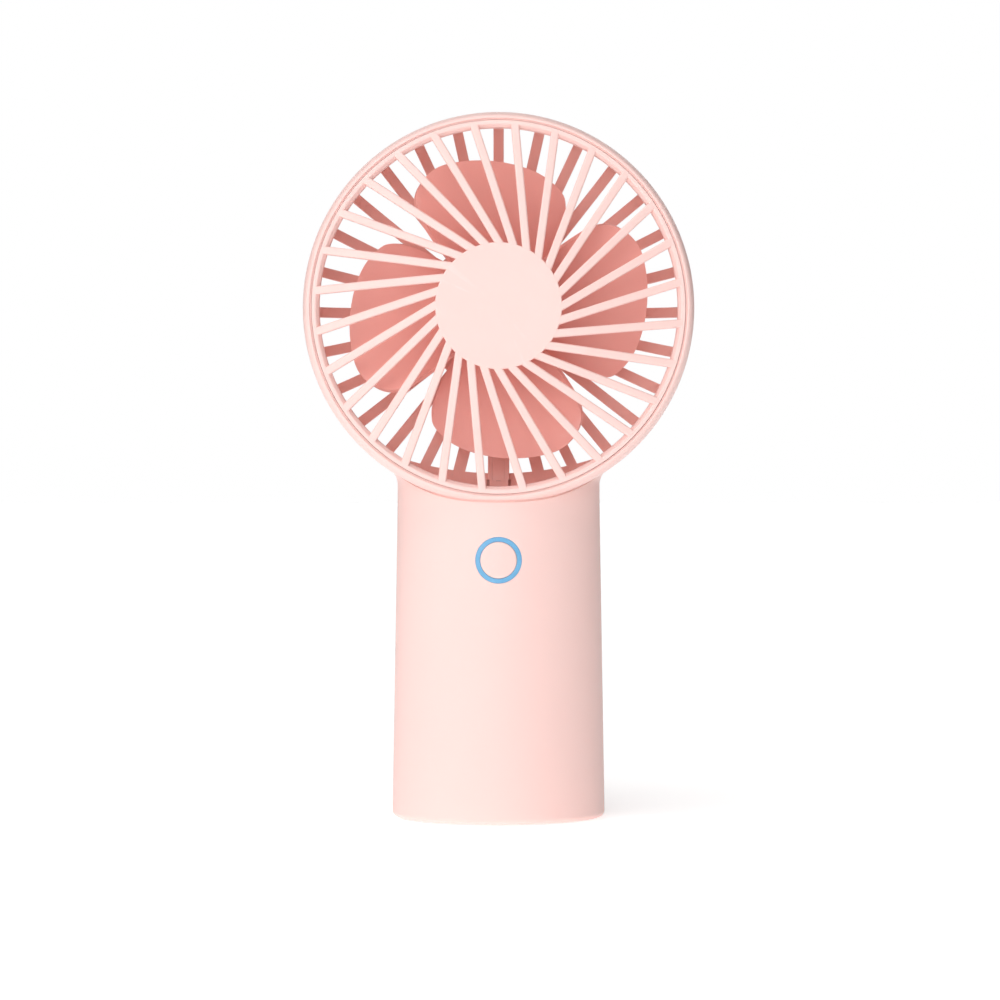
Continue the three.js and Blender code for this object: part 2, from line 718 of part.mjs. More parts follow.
// One winding round a tooth.
function statorCoil(index) {
  const angle = (360 * index) / TEETH;
  const winding = squareOutline(
    6,
    8.5,
    STATOR_FRONT - COIL_OVERHANG,
    STATOR_BACK + COIL_OVERHANG,
  );
  const tooth = squareOutline(5, 9.5, STATOR_FRONT - 0.2, STATOR_BACK + 0.2);
  return spoke(angle, 0, 3.8, winding).subtract(spoke(angle, 0, 2.2, tooth));
}

function motorBase() {
  const flange = MOTOR_SEAT - GAP;
  const solid = turned(
    [
      [BUSH_RADIUS + 0.2, STATOR_FRONT - 0.6],
      [3.6, STATOR_FRONT - 0.6],
      [3.6, flange - 2],
      [FLANGE_RADIUS, flange - 1.2],
      [FLANGE_RADIUS, flange],
      [5, flange],
      [5, flange + 1.2],
      [BUSH_RADIUS + 0.2, flange + 1.2],
    ],
    MOTOR_SIDES,
  );
  const screws = SCREW_ANGLES.map((angle) =>
    ring(SCREW_PILOT, 0, 0, 20, BORE_SIDES).translate(aroundAxis(angle, SCREW_CIRCLE)),
  );
  return solid.subtract(joined(screws));
}

function bush(y0, y1) {
  return ring(BUSH_RADIUS, SHAFT_RADIUS + 0.2, y0, y1);
}

function motorBoard() {
  return ring(11, 4, MOTOR_BOARD_FRONT, MOTOR_BOARD_FRONT + 1, MOTOR_SIDES);
}

function motorScrew(angle) {
  const seat = BOSS_BACK - BOSS_RECESS + 0.1;
  const place = aroundAxis(angle, SCREW_CIRCLE);
  return screw(1.8, 0.75, 3.4).rotate([0, 0, 180]).translate([place[0], seat, place[2]]);
}

// The wires from the motor through the duct to the main board.
function motorCable() {
  const below = (radius) => HEAD_HEIGHT - radius;
  const lay = (radius) => [0, bowlAt(radius) - 0.95, below(radius)];
  const route = [
    [0, 5.4, below(9.5)],
    [0, 6.6, below(13)],
    [0, 7.6, below(16.5)],
    lay(21),
    lay(27),
    lay(33),
    lay(38),
    [0, 3.9, below(41.2)],
    [0, 4.3, below(43.8)],
    [0, 4.6, 78.5],
    [0, 3, 76.6],
    [0, 0, 76.3],
    [0, -3, 75.8],
    [0, -4.9, 74],
    [0, -5.4, 72.2],
  ];
  return wire(route, CABLE_RADIUS, 36);
}

// ---------------------------------------------------------------- inside the handle

function cellCentres() {
  return { left: -CELL_X, right: CELL_X };
}

function batteryCell(x) {
  const body = upright(CELL_RADIUS, 0, CELL_BOTTOM, CELL_TOP - 0.8);
  const tip = upright(2.8, 0, CELL_TOP - 1, CELL_TOP, BORE_SIDES);
  return body.add(tip).translate([x, CELL_Y, 0]);
}

function nickelStrip(z) {
  return box(
    [-STRIP.halfLength, CELL_Y - STRIP.halfWidth, z],
    [STRIP.halfLength, CELL_Y + STRIP.halfWidth, z + STRIP.thickness],
  );
}

function innerFrame() {
  const bottom = CELL_BOTTOM - 1 - PLATE;
  const top = CELL_TOP + 1 + PLATE;
  const halfWidth = handleWidthAt(top) - HANDLE_WALL - 0.5;
  const halfDepth = shoulderAt(top) - HANDLE_WALL - 0.5;
  const outline = ovalPlate(halfWidth, halfDepth, bottom, top);
  const block = box([-30, BOARD_FRONT + BOARD_THICKNESS + GAP, bottom], [30, 30, top]);
  const cells = Object.values(cellCentres()).map((x) =>
    upright(CELL_RADIUS + GAP, 0, bottom + PLATE, top - PLATE).translate([x, CELL_Y, 0]),
  );
  const opening = box([-30, -30, bottom + PLATE], [30, CELL_Y, top - PLATE]);
  const bridge = box([-4, -30, bottom + PLATE], [4, CELL_Y + 4, top - PLATE]);
  const notch = box([-2, -12, top - PLATE - 1], [2, -1.5, top + 1]);
  const sideRoom = 3.2;
  const sides = [-1, 1].map((side) =>
    box([side * POST_X - 3, -sideRoom, 0], [side * POST_X + 3, sideRoom, top + 1]),
  );
  const pilots = boardScrewPlaces().map(([x, z]) =>
    ring(0.7, 0, -10, -2, BORE_SIDES).translate([x, 0, z]),
  );
  return outline
    .intersect(block)
    .subtract(joined(cells))
    .subtract(opening)
    .subtract(bridge)
    .subtract(notch)
    .subtract(joined(sides))
    .subtract(joined(pilots));
}

function boardScrewPlaces() {
  const low = CELL_BOTTOM - 1 - PLATE / 2;
  const high = CELL_TOP + 1 + PLATE / 2;
  return [
    [-BOARD_SCREW_X, low],
    [BOARD_SCREW_X, high],
  ];
}

function mainBoard() {
  const back = BOARD_FRONT + BOARD_THICKNESS;
  const plate = box(
    [-BOARD_HALF_WIDTH, BOARD_FRONT, BOARD_BOTTOM],
    [BOARD_HALF_WIDTH, back, BOARD_TOP],
  );
  const holes = boardScrewPlaces().map(([x, z]) =>
    ring(0.9, 0, -10, -5, BORE_SIDES).translate([x, 0, z]),
  );
  return plate.subtract(joined(holes));
}

// A small screw with a domed head whose shank runs along +Y.
function screw(headRadius, shankRadius, length) {
  return turned(
    [
      [0, -1.1],
      [headRadius * 0.7, -1],
      [headRadius, -0.4],
      [headRadius, 0],
      [shankRadius, 0],
      [shankRadius, length],
      [0, length + 0.4],
    ],
    BORE_SIDES,
  );
}

function chip(x, z, width, height, thickness) {
  const y1 = BOARD_FRONT - GAP;
  return box(
    [x - width / 2, y1 - thickness, z - height / 2],
    [x + width / 2, y1, z + height / 2],
  );
}

function switchBody() {
  const { halfSide, front, bore } = SWITCH;
  const back = BOARD_FRONT - GAP;
  const body = box([-halfSide, front, -halfSide], [halfSide, back, halfSide]);
  const room = ring(bore, 0, front - 1, back - 0.6);
  return body.subtract(room).translate([0, 0, BUTTON_HEIGHT]);
}

function switchPlunger() {
  return ring(PLUNGER.radius, 0, PLUNGER.front, PLUNGER.back).translate([0, 0, BUTTON_HEIGHT]);
}

function buttonCap() {
  const face = ring(LIGHT_BORE - CAP_GAP, 0, -25, -13.1).translate([0, 0, BUTTON_HEIGHT]);
  const { radius, front, back } = BUTTON_FLANGE;
  const flange = ring(radius, 0, front, back).translate([0, 0, BUTTON_HEIGHT]);
  return face.intersect(handleOutside()).add(flange);
}

function lightRing() {
  const { radius, front, back } = LIGHT_COLLAR;
  const tube = ring(LIGHT_RADIUS, LIGHT_BORE, -25, LIGHT_BACK).translate([0, 0, BUTTON_HEIGHT]);
  const collar = ring(radius, LIGHT_BORE, front, back).translate([0, 0, BUTTON_HEIGHT]);
  return tube.intersect(handleOutside()).add(collar);
}

function usbSocket() {
  const low = USB_HEIGHT - USB_THICKNESS / 2;
  const high = USB_HEIGHT + USB_THICKNESS / 2;
  const inside = USB_WIDTH / 2 - USB_METAL;
  const shell = box([-USB_WIDTH / 2, USB_FRONT, low], [USB_WIDTH / 2, USB_BACK, high]);
  const mouth = box(
    [-inside, USB_FRONT + 1.2, low + USB_METAL],
    [inside, USB_BACK + 2, high - USB_METAL],
  );
  const { halfWidth, halfHeight, back } = USB_TONGUE;
  const tongue = box(
    [-halfWidth, USB_FRONT + 0.8, USB_HEIGHT - halfHeight],
    [halfWidth, back, USB_HEIGHT + halfHeight],
  );
  return shell.subtract(mouth).add(tongue);
}

function usbBoard() {
  const top = USB_HEIGHT - USB_THICKNESS / 2 - GAP;
  const { halfWidth, front, back } = USB_BOARD;
  return box([-halfWidth, front, top - 1], [halfWidth, back, top]);
}

function usbLead() {
  const start = USB_HEIGHT - USB_THICKNESS / 2 + 0.7;
  const route = [
    [5, 6.4, start],
    [5, 3.6, start + 0.6],
    [5, 0, start + 3],
    [5, -3.6, start + 5],
    [5, -5.9, start + 5.6],
  ];
  return wire(route, CABLE_RADIUS, 10);
}

// Between the cells and the back of the board.
function foamPad() {
  const { halfWidth, bottom, top } = FOAM_PAD;
  const front = BOARD_FRONT + BOARD_THICKNESS + 0.5;
  return box([-halfWidth, front, bottom], [halfWidth, front + 0.8, top]);
}

// A lead from a nickel strip forward to the back of the board.
function batteryLead(x, z) {
  const route = [
    [x, CELL_Y - 3, z],
    [x, 0, z],
    [x, -6.6, z],
  ];
  return wire(route, LEAD_RADIUS, 3);
}

function baseCap() {
  const bottom = BASE_CLEARANCE + 0.2;
  const halfWidth = handleWidthAt(0) - RIM_WALL - GAP;
  const halfDepth = handleDepthAt(0) - RIM_WALL - GAP;
  const plate = ovalPlate(halfWidth, halfDepth, bottom, RIM_HEIGHT - GAP);
  const recess = ovalPlate(PAD_HALF_WIDTH + GAP, PAD_HALF_DEPTH + GAP, 0, PAD_THICKNESS + GAP);
  const boardBottom = USB_HEIGHT - USB_THICKNESS / 2 - GAP - 1;
  const frameBottom = CELL_BOTTOM - 1 - PLATE;
  const boardPosts = [-7, 7].map((x) =>
    upright(1.8, 0, RIM_HEIGHT - 1, boardBottom - GAP, BORE_SIDES).translate([x, 5, 0]),
  );
  const framePosts = [-12, 12].map((x) =>
    upright(2, 0, RIM_HEIGHT - 1, frameBottom - GAP, BORE_SIDES).translate([x, 0, 0]),
  );
  const screws = [-1, 1].map((side) =>
    upright(1.3, 0, 0, 6, BORE_SIDES)
      .add(upright(2.5, 0, 0, 2.2, BORE_SIDES))
      .translate([side * POST_X, 0, 0]),
  );
  return plate
    .subtract(recess)
    .add(joined(boardPosts))
    .add(joined(framePosts))
    .subtract(joined(screws));
}

function basePad() {
  return ovalPlate(PAD_HALF_WIDTH, PAD_HALF_DEPTH, 0, PAD_THICKNESS);
}

function baseScrew(side) {
  return screw(2.1, 0.75, 9).rotate([90, 0, 0]).translate([side * POST_X, 0, 2.1]);
}

// ---------------------------------------------------------------- assembly
const fan = new THREE.Group();
const head = new THREE.Group();
head.position.z = HEAD_HEIGHT;
fan.add(head);

function put(group, name, solid, material) {
  const mesh = new THREE.Mesh(geometryOf(solid), material);
  mesh.name = name;
  group.add(mesh);
}

put(fan, "body_shell", bodyShell(), BLUSH);
put(head, "front_grille", frontGrille(), BLUSH);
put(head, "rear_guard", rearGuard(), CORAL);
put(head, "rear_cap", rearCap(), CORAL);
put(head, "duct_cover", ductCover(), CORAL);
put(head, "impeller", impeller(), CORAL);

put(head, "rotor_cup", rotorCup(), STEEL);
put(head, "magnet_ring", ring(MAGNET_RADIUS, MAGNET_BORE, -11.2, -2.2, MOTOR_SIDES), FERRITE);
put(head, "motor_shaft", ring(SHAFT_RADIUS, 0, HUB_FRONT + HUB_WALL + GAP, 11.3), STEEL);
put(head, "retaining_clip", ring(1.9, SHAFT_RADIUS + CAP_GAP, 10.5, 10.9), STEEL);
put(head, "stator_core", statorCore(), STEEL);
for (let i = 0; i < TEETH; i++) put(head, `stator_coil_${i + 1}`, statorCoil(i), COPPER);
put(head, "motor_base", motorBase(), WHITE);
put(head, "front_bush", bush(-10.4, -6), BRONZE);
put(head, "rear_bush", bush(5.4, 9.8), BRONZE);
put(head, "motor_board", motorBoard(), BOARD);
SCREW_ANGLES.forEach((angle, i) => {
  put(head, `motor_screw_${i + 1}`, motorScrew(angle), STEEL);
});
put(fan, "motor_cable", motorCable(), WIRE);

put(fan, "inner_frame", innerFrame(), WHITE);
for (const [side, x] of Object.entries(cellCentres())) {
  put(fan, `battery_cell_${side}`, batteryCell(x), WRAP);
}
put(fan, "nickel_strip_top", nickelStrip(CELL_TOP + GAP), NICKEL);
put(fan, "nickel_strip_bottom", nickelStrip(CELL_BOTTOM - GAP - STRIP.thickness), NICKEL);
const stripMiddle = GAP + STRIP.thickness / 2; // beyond the ends of the cells
put(fan, "battery_lead_positive", batteryLead(LEAD_X, CELL_TOP + stripMiddle), RED_WIRE);
put(fan, "battery_lead_negative", batteryLead(-LEAD_X, CELL_BOTTOM - stripMiddle), WIRE);
put(fan, "foam_pad", foamPad(), FOAM);
put(fan, "main_board", mainBoard(), BOARD);
boardScrewPlaces().forEach(([x, z], i) => {
  const solid = screw(1.7, 0.5, 5).translate([x, BOARD_FRONT - 0.1, z]);
  put(fan, `board_screw_${i + 1}`, solid, STEEL);
});
put(fan, "drive_chip", chip(-6, 50, 5, 5, 1), CHIP);
put(fan, "charge_chip", chip(6, 34, 4, 5, 1.2), CHIP);
put(fan, "power_inductor", chip(-5, 34, 6, 6, 2.8), CHIP);
put(fan, "light_left", chip(-6.6, BUTTON_HEIGHT, 1.6, 1.6, 0.7), WHITE);
put(fan, "light_right", chip(6.6, BUTTON_HEIGHT, 1.6, 1.6, 0.7), WHITE);

put(fan, "switch_body", switchBody(), CHIP);
put(fan, "switch_plunger", switchPlunger(), WHITE);
put(fan, "button_cap", buttonCap(), BLUSH);
put(fan, "light_ring", lightRing(), LIGHT);

put(fan, "usb_socket", usbSocket(), STEEL);
put(fan, "usb_board", usbBoard(), BOARD);
put(fan, "usb_lead", usbLead(), WIRE);
put(fan, "base_cap", baseCap(), BLUSH);
put(fan, "base_pad", basePad(), RUBBER);
put(fan, "base_screw_left", baseScrew(-1), STEEL);
put(fan, "base_screw_right", baseScrew(1), STEEL);

export default fan;
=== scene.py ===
import json
import math

import bmesh
import bpy
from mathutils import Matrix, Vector


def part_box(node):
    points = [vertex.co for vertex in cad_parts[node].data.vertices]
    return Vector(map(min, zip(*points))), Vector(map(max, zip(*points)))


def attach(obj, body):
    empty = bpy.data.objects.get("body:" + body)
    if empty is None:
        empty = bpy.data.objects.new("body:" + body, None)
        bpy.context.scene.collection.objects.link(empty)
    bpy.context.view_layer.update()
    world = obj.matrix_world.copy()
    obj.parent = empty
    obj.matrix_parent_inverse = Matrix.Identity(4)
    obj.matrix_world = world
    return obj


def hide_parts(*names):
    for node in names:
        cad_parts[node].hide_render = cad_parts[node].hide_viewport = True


# A handheld fan. Lengths are in millimetres here, and become metres as each mesh is made.
# The front faces -Y and +Z is up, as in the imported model.

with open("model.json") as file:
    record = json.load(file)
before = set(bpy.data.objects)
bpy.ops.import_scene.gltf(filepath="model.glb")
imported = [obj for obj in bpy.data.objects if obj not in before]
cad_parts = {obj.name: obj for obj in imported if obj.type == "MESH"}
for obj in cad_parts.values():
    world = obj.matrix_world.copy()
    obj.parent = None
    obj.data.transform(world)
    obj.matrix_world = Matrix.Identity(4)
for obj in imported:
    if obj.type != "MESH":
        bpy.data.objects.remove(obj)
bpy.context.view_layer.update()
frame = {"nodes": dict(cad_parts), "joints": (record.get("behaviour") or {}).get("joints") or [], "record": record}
MM = 0.001


def corners(node):
    """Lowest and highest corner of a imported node, in millimetres."""
    low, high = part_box(node)
    return low / MM, high / MM


def joint(name):
    """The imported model's joint of that name."""
    return next(j for j in frame["joints"] if j["name"] == name)


# ---------------------------------------------------------------- places, from the frame
SHELL_LOW, SHELL_HIGH = corners("body_shell")
GRILLE_LOW, GRILLE_HIGH = corners("front_grille")
GUARD_HIGH = corners("rear_guard")[1]
CAP_LOW, CAP_HIGH = corners("rear_cap")
PAD_HIGH = corners("base_pad")[1]
PLATE_LOW, PLATE_HIGH = corners("base_cap")
LIGHT_HIGH = corners("light_ring")[1]
BUTTON_LOW, BUTTON_HIGH = corners("button_cap")
USB_LOW, USB_HIGH = corners("usb_socket")

# ---------------------------------------------------------------- the head, and the grille in it
AXIS_Z = joint("impeller_spin")["pos_m"][2] / MM
HEAD_RADIUS = SHELL_HIGH.x
HEAD_FRONT = SHELL_LOW.y
HEAD_SPLIT = 0.0
HEAD_WALL = 1.8
REBATE_RADIUS = HEAD_RADIUS - HEAD_WALL / 2
REBATE_DEPTH = 2.0
REAR_CHAMFER = 0.15
LIP_DEPTH = 5.0
LIP_EDGE = 0.25
LEDGE_THICKNESS = 1.0
RING_RADIUS = GRILLE_HIGH.x
RING_FIT = 0.1
SEAM = 0.4
SEAM_FLOOR = 0.55
CREASE_RADIUS = 0.42
CREASE_REACH = 36
MOULD_LINE_X = -0.4
MOULD_LINE_WIDTH = 0.22
MOULD_LINE_DEPTH = 0.15
RING_DEPTH = GRILLE_HIGH.y - HEAD_FRONT
RING_FLAT_RADIUS = 44.55
RING_INNER_RADIUS = 43.7
RING_LIP_DEPTH = 2.2
DISC_FRONT = GRILLE_LOW.y
DISC_RADIUS = 15.35
DISC_THICKNESS = 2.2
DISC_WALL = 1.5
DISC_HOLLOW = 0.8
SPOKES = 28
SPOKE_WIDTH = 2.0
SPOKE_THICKNESS = 2.4
SPOKE_OFFSET = 7.9
SPOKE_START = 17.9
SPOKE_PROUD = 0.02

# ---------------------------------------------------------------- the guard behind the blades
GUARD_FRONT = 0.5
GUARD_DEPTH = 9.6
GUARD_THICKNESS = 2.2
GUARD_RIM = 46.5
GUARD_GAP = 0.3
GUARD_FIT = 0.15
BAR_WIDTH = 2.6
BAR_EDGES = (0.25, 0.6)
NEXT_BAR_ANGLE = 14
NEXT_BAR_WIDTH = 3.0
BOSS_RADIUS = 19.5
BOSS_BORE = 5.4
MOTOR_SEAT = 9.2
MOTOR_SCREW_CIRCLE = 8.2
MOTOR_SCREW_HOLE = 1.2
CAP_RADIUS = CAP_HIGH.x
CAP_RECESS = 2.6
CAP_GAP = 0.3
FOOT_TOP = -40.6
FOOT_EDGE_RADIUS = 80.0
FOOT_HALF_WIDTH = 29.5
FOOT_INSET = 0.06
DUCT_WIDTH = 5.4
DUCT_BORE = 3.2
DUCT_RISE = 2.4
DUCT_END = 42.6
DUCT_LID = 0.6
NOTCH_LOW = -44.6
NOTCH_HIGH = -42.2
NOTCH_DEPTH = 1.1

# ---------------------------------------------------------------- the impeller
BLADES = 4
HUB_RADIUS = 14.6
HUB_FRONT = corners("impeller")[0].y
HUB_BACK = corners("impeller")[1].y
HUB_WALL = 1.1
BLADE_FRONT = -15.0
BLADE_BACK = -2.4
BLADE_THICKNESS = 1.25
BLADE_CAMBER = 1.5
BLADE_EDGE = 0.42
BLADE_LEADING_ANGLES = (45.5, 56.0)
BLADE_TRAILING_ANGLES = (137.5, 131.0)
# Points (share of the way from the back edge to the front edge, radius) of a blade's outer end.
BLADE_TIP = [
    (0, 29), (0.03, 31.4), (0.08, 33.3), (0.22, 35.3), (0.42, 36.5),
    (0.65, 37.6), (0.78, 37.8), (0.89, 35.9), (0.96, 33.3), (1, 29.5),
]

# ---------------------------------------------------------------- the handle and what it holds
BASE_CLEARANCE = SHELL_LOW.z
BASE_HALF_WIDTH = 26.6
BASE_HALF_DEPTH = 18.6
TAPER_HEIGHT = 80.0
TOP_HALF_WIDTH = 25.3
TOP_HALF_DEPTH = 17.7
BASE_FILLET = 1.5
NECK_FILLET = 5.0
SHOULDER_START = 71.0
SHOULDER_TOP = 86.0
HANDLE_TOP = 87.6
HANDLE_WALL = 1.8
RIM_WALL = 2.2
RIM_HEIGHT = 4.2
PLATE_GAP = 0.3
POST_TOP = 14.6
POST_RADIUS = 2.7
POST_PILOT = 0.9
CEILING = 77.5
SHOULDER_POWER = 2.4
BUTTON_Z = (BUTTON_LOW.z + BUTTON_HIGH.z) / 2
LIGHT_RADIUS = 5.6
LIGHT_BORE = 4.55
BUTTON_GAP = 0.1
BUTTON_FLANGE = 5.4
BUTTON_FLANGE_FRONT = -13.2
LIGHT_COLLAR_FRONT = -14.8
LIGHT_COLLAR_BACK = -14.0
USB_Z = (USB_LOW.z + USB_HIGH.z) / 2
USB_HOLE_HALF_WIDTH = 4.75
USB_HOLE_HALF_HEIGHT = 1.9
USB_METAL = 0.3
SCREWS = ("base_screw_left", "base_screw_right")

HEAD_SIDES = 224
HANDLE_SIDES = 160


# ---------------------------------------------------------------- mesh helpers
def mix(a, b, share):
    """A value a share of the way from a to b."""
    return a + (b - a) * share


def new_object(name, mesh):
    """An object in the scene that shows the mesh."""
    piece = bpy.data.objects.new(name, mesh)
    bpy.context.scene.collection.objects.link(piece)
    return piece


def solid(name, points, faces):
    """A mesh object from points in millimetres, with its faces turned outwards."""
    mesh = bpy.data.meshes.new(name)
    mesh.from_pydata([Vector(p) * MM for p in points], [], faces)
    edit = bmesh.new()
    edit.from_mesh(mesh)
    bmesh.ops.remove_doubles(edit, verts=edit.verts, dist=1e-7)
    loose = [edge for edge in edit.edges if not edge.link_faces]
    bmesh.ops.delete(edit, geom=loose, context="EDGES")
    bmesh.ops.recalc_face_normals(edit, faces=edit.faces)
    edit.to_mesh(mesh)
    edit.free()
    return new_object(name, mesh)


def rounded(outline, steps=5):
    """Corners (x, y, radius) of a closed outline as points, each corner an arc of its radius."""
    points = []
    for i, (x, y, radius) in enumerate(outline):
        here = Vector((x, y))
        if radius == 0:
            points.append(here)
            continue
        before = (Vector(outline[i - 1][:2]) - here).normalized()
        after = (Vector(outline[(i + 1) % len(outline)][:2]) - here).normalized()
        half = before.angle(after) / 2
        centre = here + (before + after).normalized() * radius / math.sin(half)
        first = here + before * radius / math.tan(half) - centre
        last = here + after * radius / math.tan(half) - centre
        start = math.atan2(first.y, first.x)
        turn = (math.atan2(last.y, last.x) - start + math.pi) % (2 * math.pi) - math.pi
        for k in range(steps + 1):
            angle = start + turn * k / steps
            points.append(centre + Vector((math.cos(angle), math.sin(angle))) * radius)
    return points


def grid_faces(rows, columns, close_rows=False, close_columns=False):
    """Four-sided faces of a grid of points, joined round where it is closed."""
    faces = []
    for i in range(rows if close_rows else rows - 1):
        for j in range(columns if close_columns else columns - 1):
            a = i * columns + j
            b = i * columns + (j + 1) % columns
            c = ((i + 1) % rows) * columns + (j + 1) % columns
            d = ((i + 1) % rows) * columns + j
            faces.append((a, b, c, d))
    return faces


def turned(name, outline, sides=HEAD_SIDES, centre=(0, 0, None)):
    """A solid of revolution about a line along Y, from a closed outline of (radius, y) points."""
    centre_z = AXIS_Z if centre[2] is None else centre[2]
    points = []
    for radius, y in outline:
        for k in range(sides):
            angle = 2 * math.pi * k / sides
            x = centre[0] + radius * math.cos(angle)
            points.append((x, y, centre_z + radius * math.sin(angle)))
    return solid(name, points, grid_faces(len(outline), sides, True, True))


def tube(name, outer, inner, y0, y1, z, sides=96, x=0):
    """A round bar along Y, or a pipe where inner isn't 0."""
    outline = [(outer, y0), (outer, y1), (inner, y1), (inner, y0)]
    return turned(name, outline, sides, (x, 0, z))


def upright(name, outline, sides, x=0, y=0):
    """A solid of revolution about a vertical line, from a closed outline of (radius, z) points."""
    points = []
    for radius, z in outline:
        for k in range(sides):
            angle = 2 * math.pi * k / sides
            points.append((x + radius * math.cos(angle), y + radius * math.sin(angle), z))
    return solid(name, points, grid_faces(len(outline), sides, True, True))


def loft(name, rings):
    """A solid between rings of points that all have the same count, closed by flat ends."""
    points = [p for ring in rings for p in ring]
    count = len(rings[0])
    faces = grid_faces(len(rings), count, False, True)
    faces.append(tuple(range(count)))
    faces.append(tuple(range((len(rings) - 1) * count, len(rings) * count)))
    return solid(name, points, faces)


def box(name, low, high):
    """A block between two corners."""
    x0, y0, z0 = low
    x1, y1, z1 = high
    rings = [[(x0, y0, z), (x1, y0, z), (x1, y1, z), (x0, y1, z)] for z in (z0, z1)]
    return loft(name, rings)


def baked(piece):
    """The piece with its modifiers applied."""
    view = bpy.context.evaluated_depsgraph_get()
    mesh = bpy.data.meshes.new_from_object(piece.evaluated_get(view))
    piece.modifiers.clear()
    piece.data = mesh
    return piece


def combined(base, others, operation):
    """base after joining, cutting or meeting it with the others, which are used up."""
    for other in others:
        change = base.modifiers.new("change", "BOOLEAN")
        change.operation = operation
        change.solver = "MANIFOLD"
        change.object = other
    baked(base)
    for other in others:
        bpy.data.objects.remove(other)
    return base


def smooth(piece, angle=32):
    """Soft shading that stays crisp at the edges sharper than the angle."""
    piece.data.shade_smooth()
    piece.data.set_sharp_from_angle(angle=math.radians(angle))
    even = piece.modifiers.new("even_normals", "WEIGHTED_NORMAL")
    even.keep_sharp = True
    return piece


def joined(pieces, name):
    """Several separate solids as one object."""
    edit = bmesh.new()
    for piece in pieces:
        edit.from_mesh(piece.data)
    mesh = bpy.data.meshes.new(name)
    edit.to_mesh(mesh)
    edit.free()
    for piece in pieces:
        bpy.data.objects.remove(piece)
    return new_object(name, mesh)


def settled(piece, material, body, slot, *nodes):
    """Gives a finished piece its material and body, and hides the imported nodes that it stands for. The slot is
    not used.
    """
    piece.data.materials.clear()
    piece.data.materials.append(material)
    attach(piece, body)
    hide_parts(*nodes)
    return piece


# ---------------------------------------------------------------- shapes that pieces share
def handle_half_width(z):
    """Half the handle's width at a height, with the fillet that flares into the head."""
    straight = mix(BASE_HALF_WIDTH, TOP_HALF_WIDTH, min(z / TAPER_HEIGHT, 1))
    centre_x = TOP_HALF_WIDTH + NECK_FILLET
    centre_z = AXIS_Z - math.sqrt((HEAD_RADIUS + NECK_FILLET) ** 2 - centre_x ** 2)
    rise = min(z - centre_z, 0.9 * NECK_FILLET)
    if rise <= 0:
        return straight
    return centre_x - math.sqrt(NECK_FILLET ** 2 - rise ** 2)


def handle_half_depth(z):
    """Half the handle's depth at a height."""
    return mix(BASE_HALF_DEPTH, TOP_HALF_DEPTH, min(z / TAPER_HEIGHT, 1))


def shoulder_depth(z):
    """Half depth behind the middle, where the shoulder rounds off under the head."""
    share = (z - SHOULDER_START) / (SHOULDER_TOP - SHOULDER_START)
    if share <= 0:
        return handle_half_depth(z)
    return max(handle_half_depth(z) * math.sqrt(max(1 - share ** SHOULDER_POWER, 0)), 1)


def handle_ring(z, inset):
    """The handle's outline at a height, moved in by the inset; the outside has a base fillet."""
    above = max(BASE_CLEARANCE + BASE_FILLET - z, 0)
    fillet = 0 if inset > 0 else BASE_FILLET - math.sqrt(BASE_FILLET ** 2 - above ** 2)
    less = inset + fillet
    points = []
    for k in range(HANDLE_SIDES):
        angle = 2 * math.pi * k / HANDLE_SIDES
        depth = handle_half_depth(z) if math.sin(angle) < 0 else shoulder_depth(z)
        x = (handle_half_width(z) - less) * math.cos(angle)
        points.append((x, (depth - less) * math.sin(angle), z))
    return points


def handle_front(x, z):
    """Depth of the handle's front surface."""
    across = min(abs(x) / handle_half_width(z), 1)
    return -handle_half_depth(z) * math.sqrt(1 - across ** 2)


def bowl(radius):
    """Depth of the guard's front surface at a radius."""
    return GUARD_FRONT + GUARD_DEPTH * math.sqrt(1 - (radius / (GUARD_RIM + 0.2)) ** 2)


def dome(radius):
    """Depth of the grille's front surface at a radius."""
    edge = RING_RADIUS - 0.6
    share = (radius ** 2 - DISC_RADIUS ** 2) / (edge ** 2 - DISC_RADIUS ** 2)
    return mix(DISC_FRONT, HEAD_FRONT, min(max(share, 0), 1))


def bar(name, angle, offset, stations, front, section):
    """A bar at an angle from +X to +Z whose section, (across, depth) points, follows a surface."""
    turn = math.radians(angle)
    rings = []
    for along in stations:
        ring = []
        for across, depth in section:
            side = across - offset
            x = along * math.cos(turn) - side * math.sin(turn)
            z = AXIS_Z + along * math.sin(turn) + side * math.cos(turn)
            ring.append((x, front(math.hypot(along, side)) + depth, z))
        rings.append(ring)
    return loft(name, rings)


def bar_section(width, thickness, front_radius, back_radius):
    """A bar's section with its front edges and back edges rounded."""
    half = width / 2
    return rounded([
        (-half, 0, front_radius),
        (half, 0, front_radius),
        (half, thickness, back_radius),
        (-half, thickness, back_radius),
    ], 4)


def stations(start, end, count):
    """Evenly spaced values from start to end, with both ends."""
    return [mix(start, end, k / count) for k in range(count + 1)]


# ---------------------------------------------------------------- shell
def quarter(steps):
    """Angles of a quarter turn, in radians."""
    return [math.pi / 2 * k / steps for k in range(steps + 1)]


def lip_point(angle, lift=0.0):
    """A point (radius, y) of the lip's outside, 0 at its front and a quarter turn at its side."""
    start = RING_RADIUS + SEAM + LIP_EDGE
    radius = mix(start, HEAD_RADIUS, math.sin(angle)) + lift * math.sin(angle)
    return radius, HEAD_FRONT + LIP_DEPTH * (1 - math.cos(angle)) - lift * math.cos(angle)


def lip_radius(y):
    """Radius of the head's outside at a depth."""
    share = min(max((y - HEAD_FRONT) / LIP_DEPTH, 0), 1)
    return lip_point(math.acos(1 - share))[0]


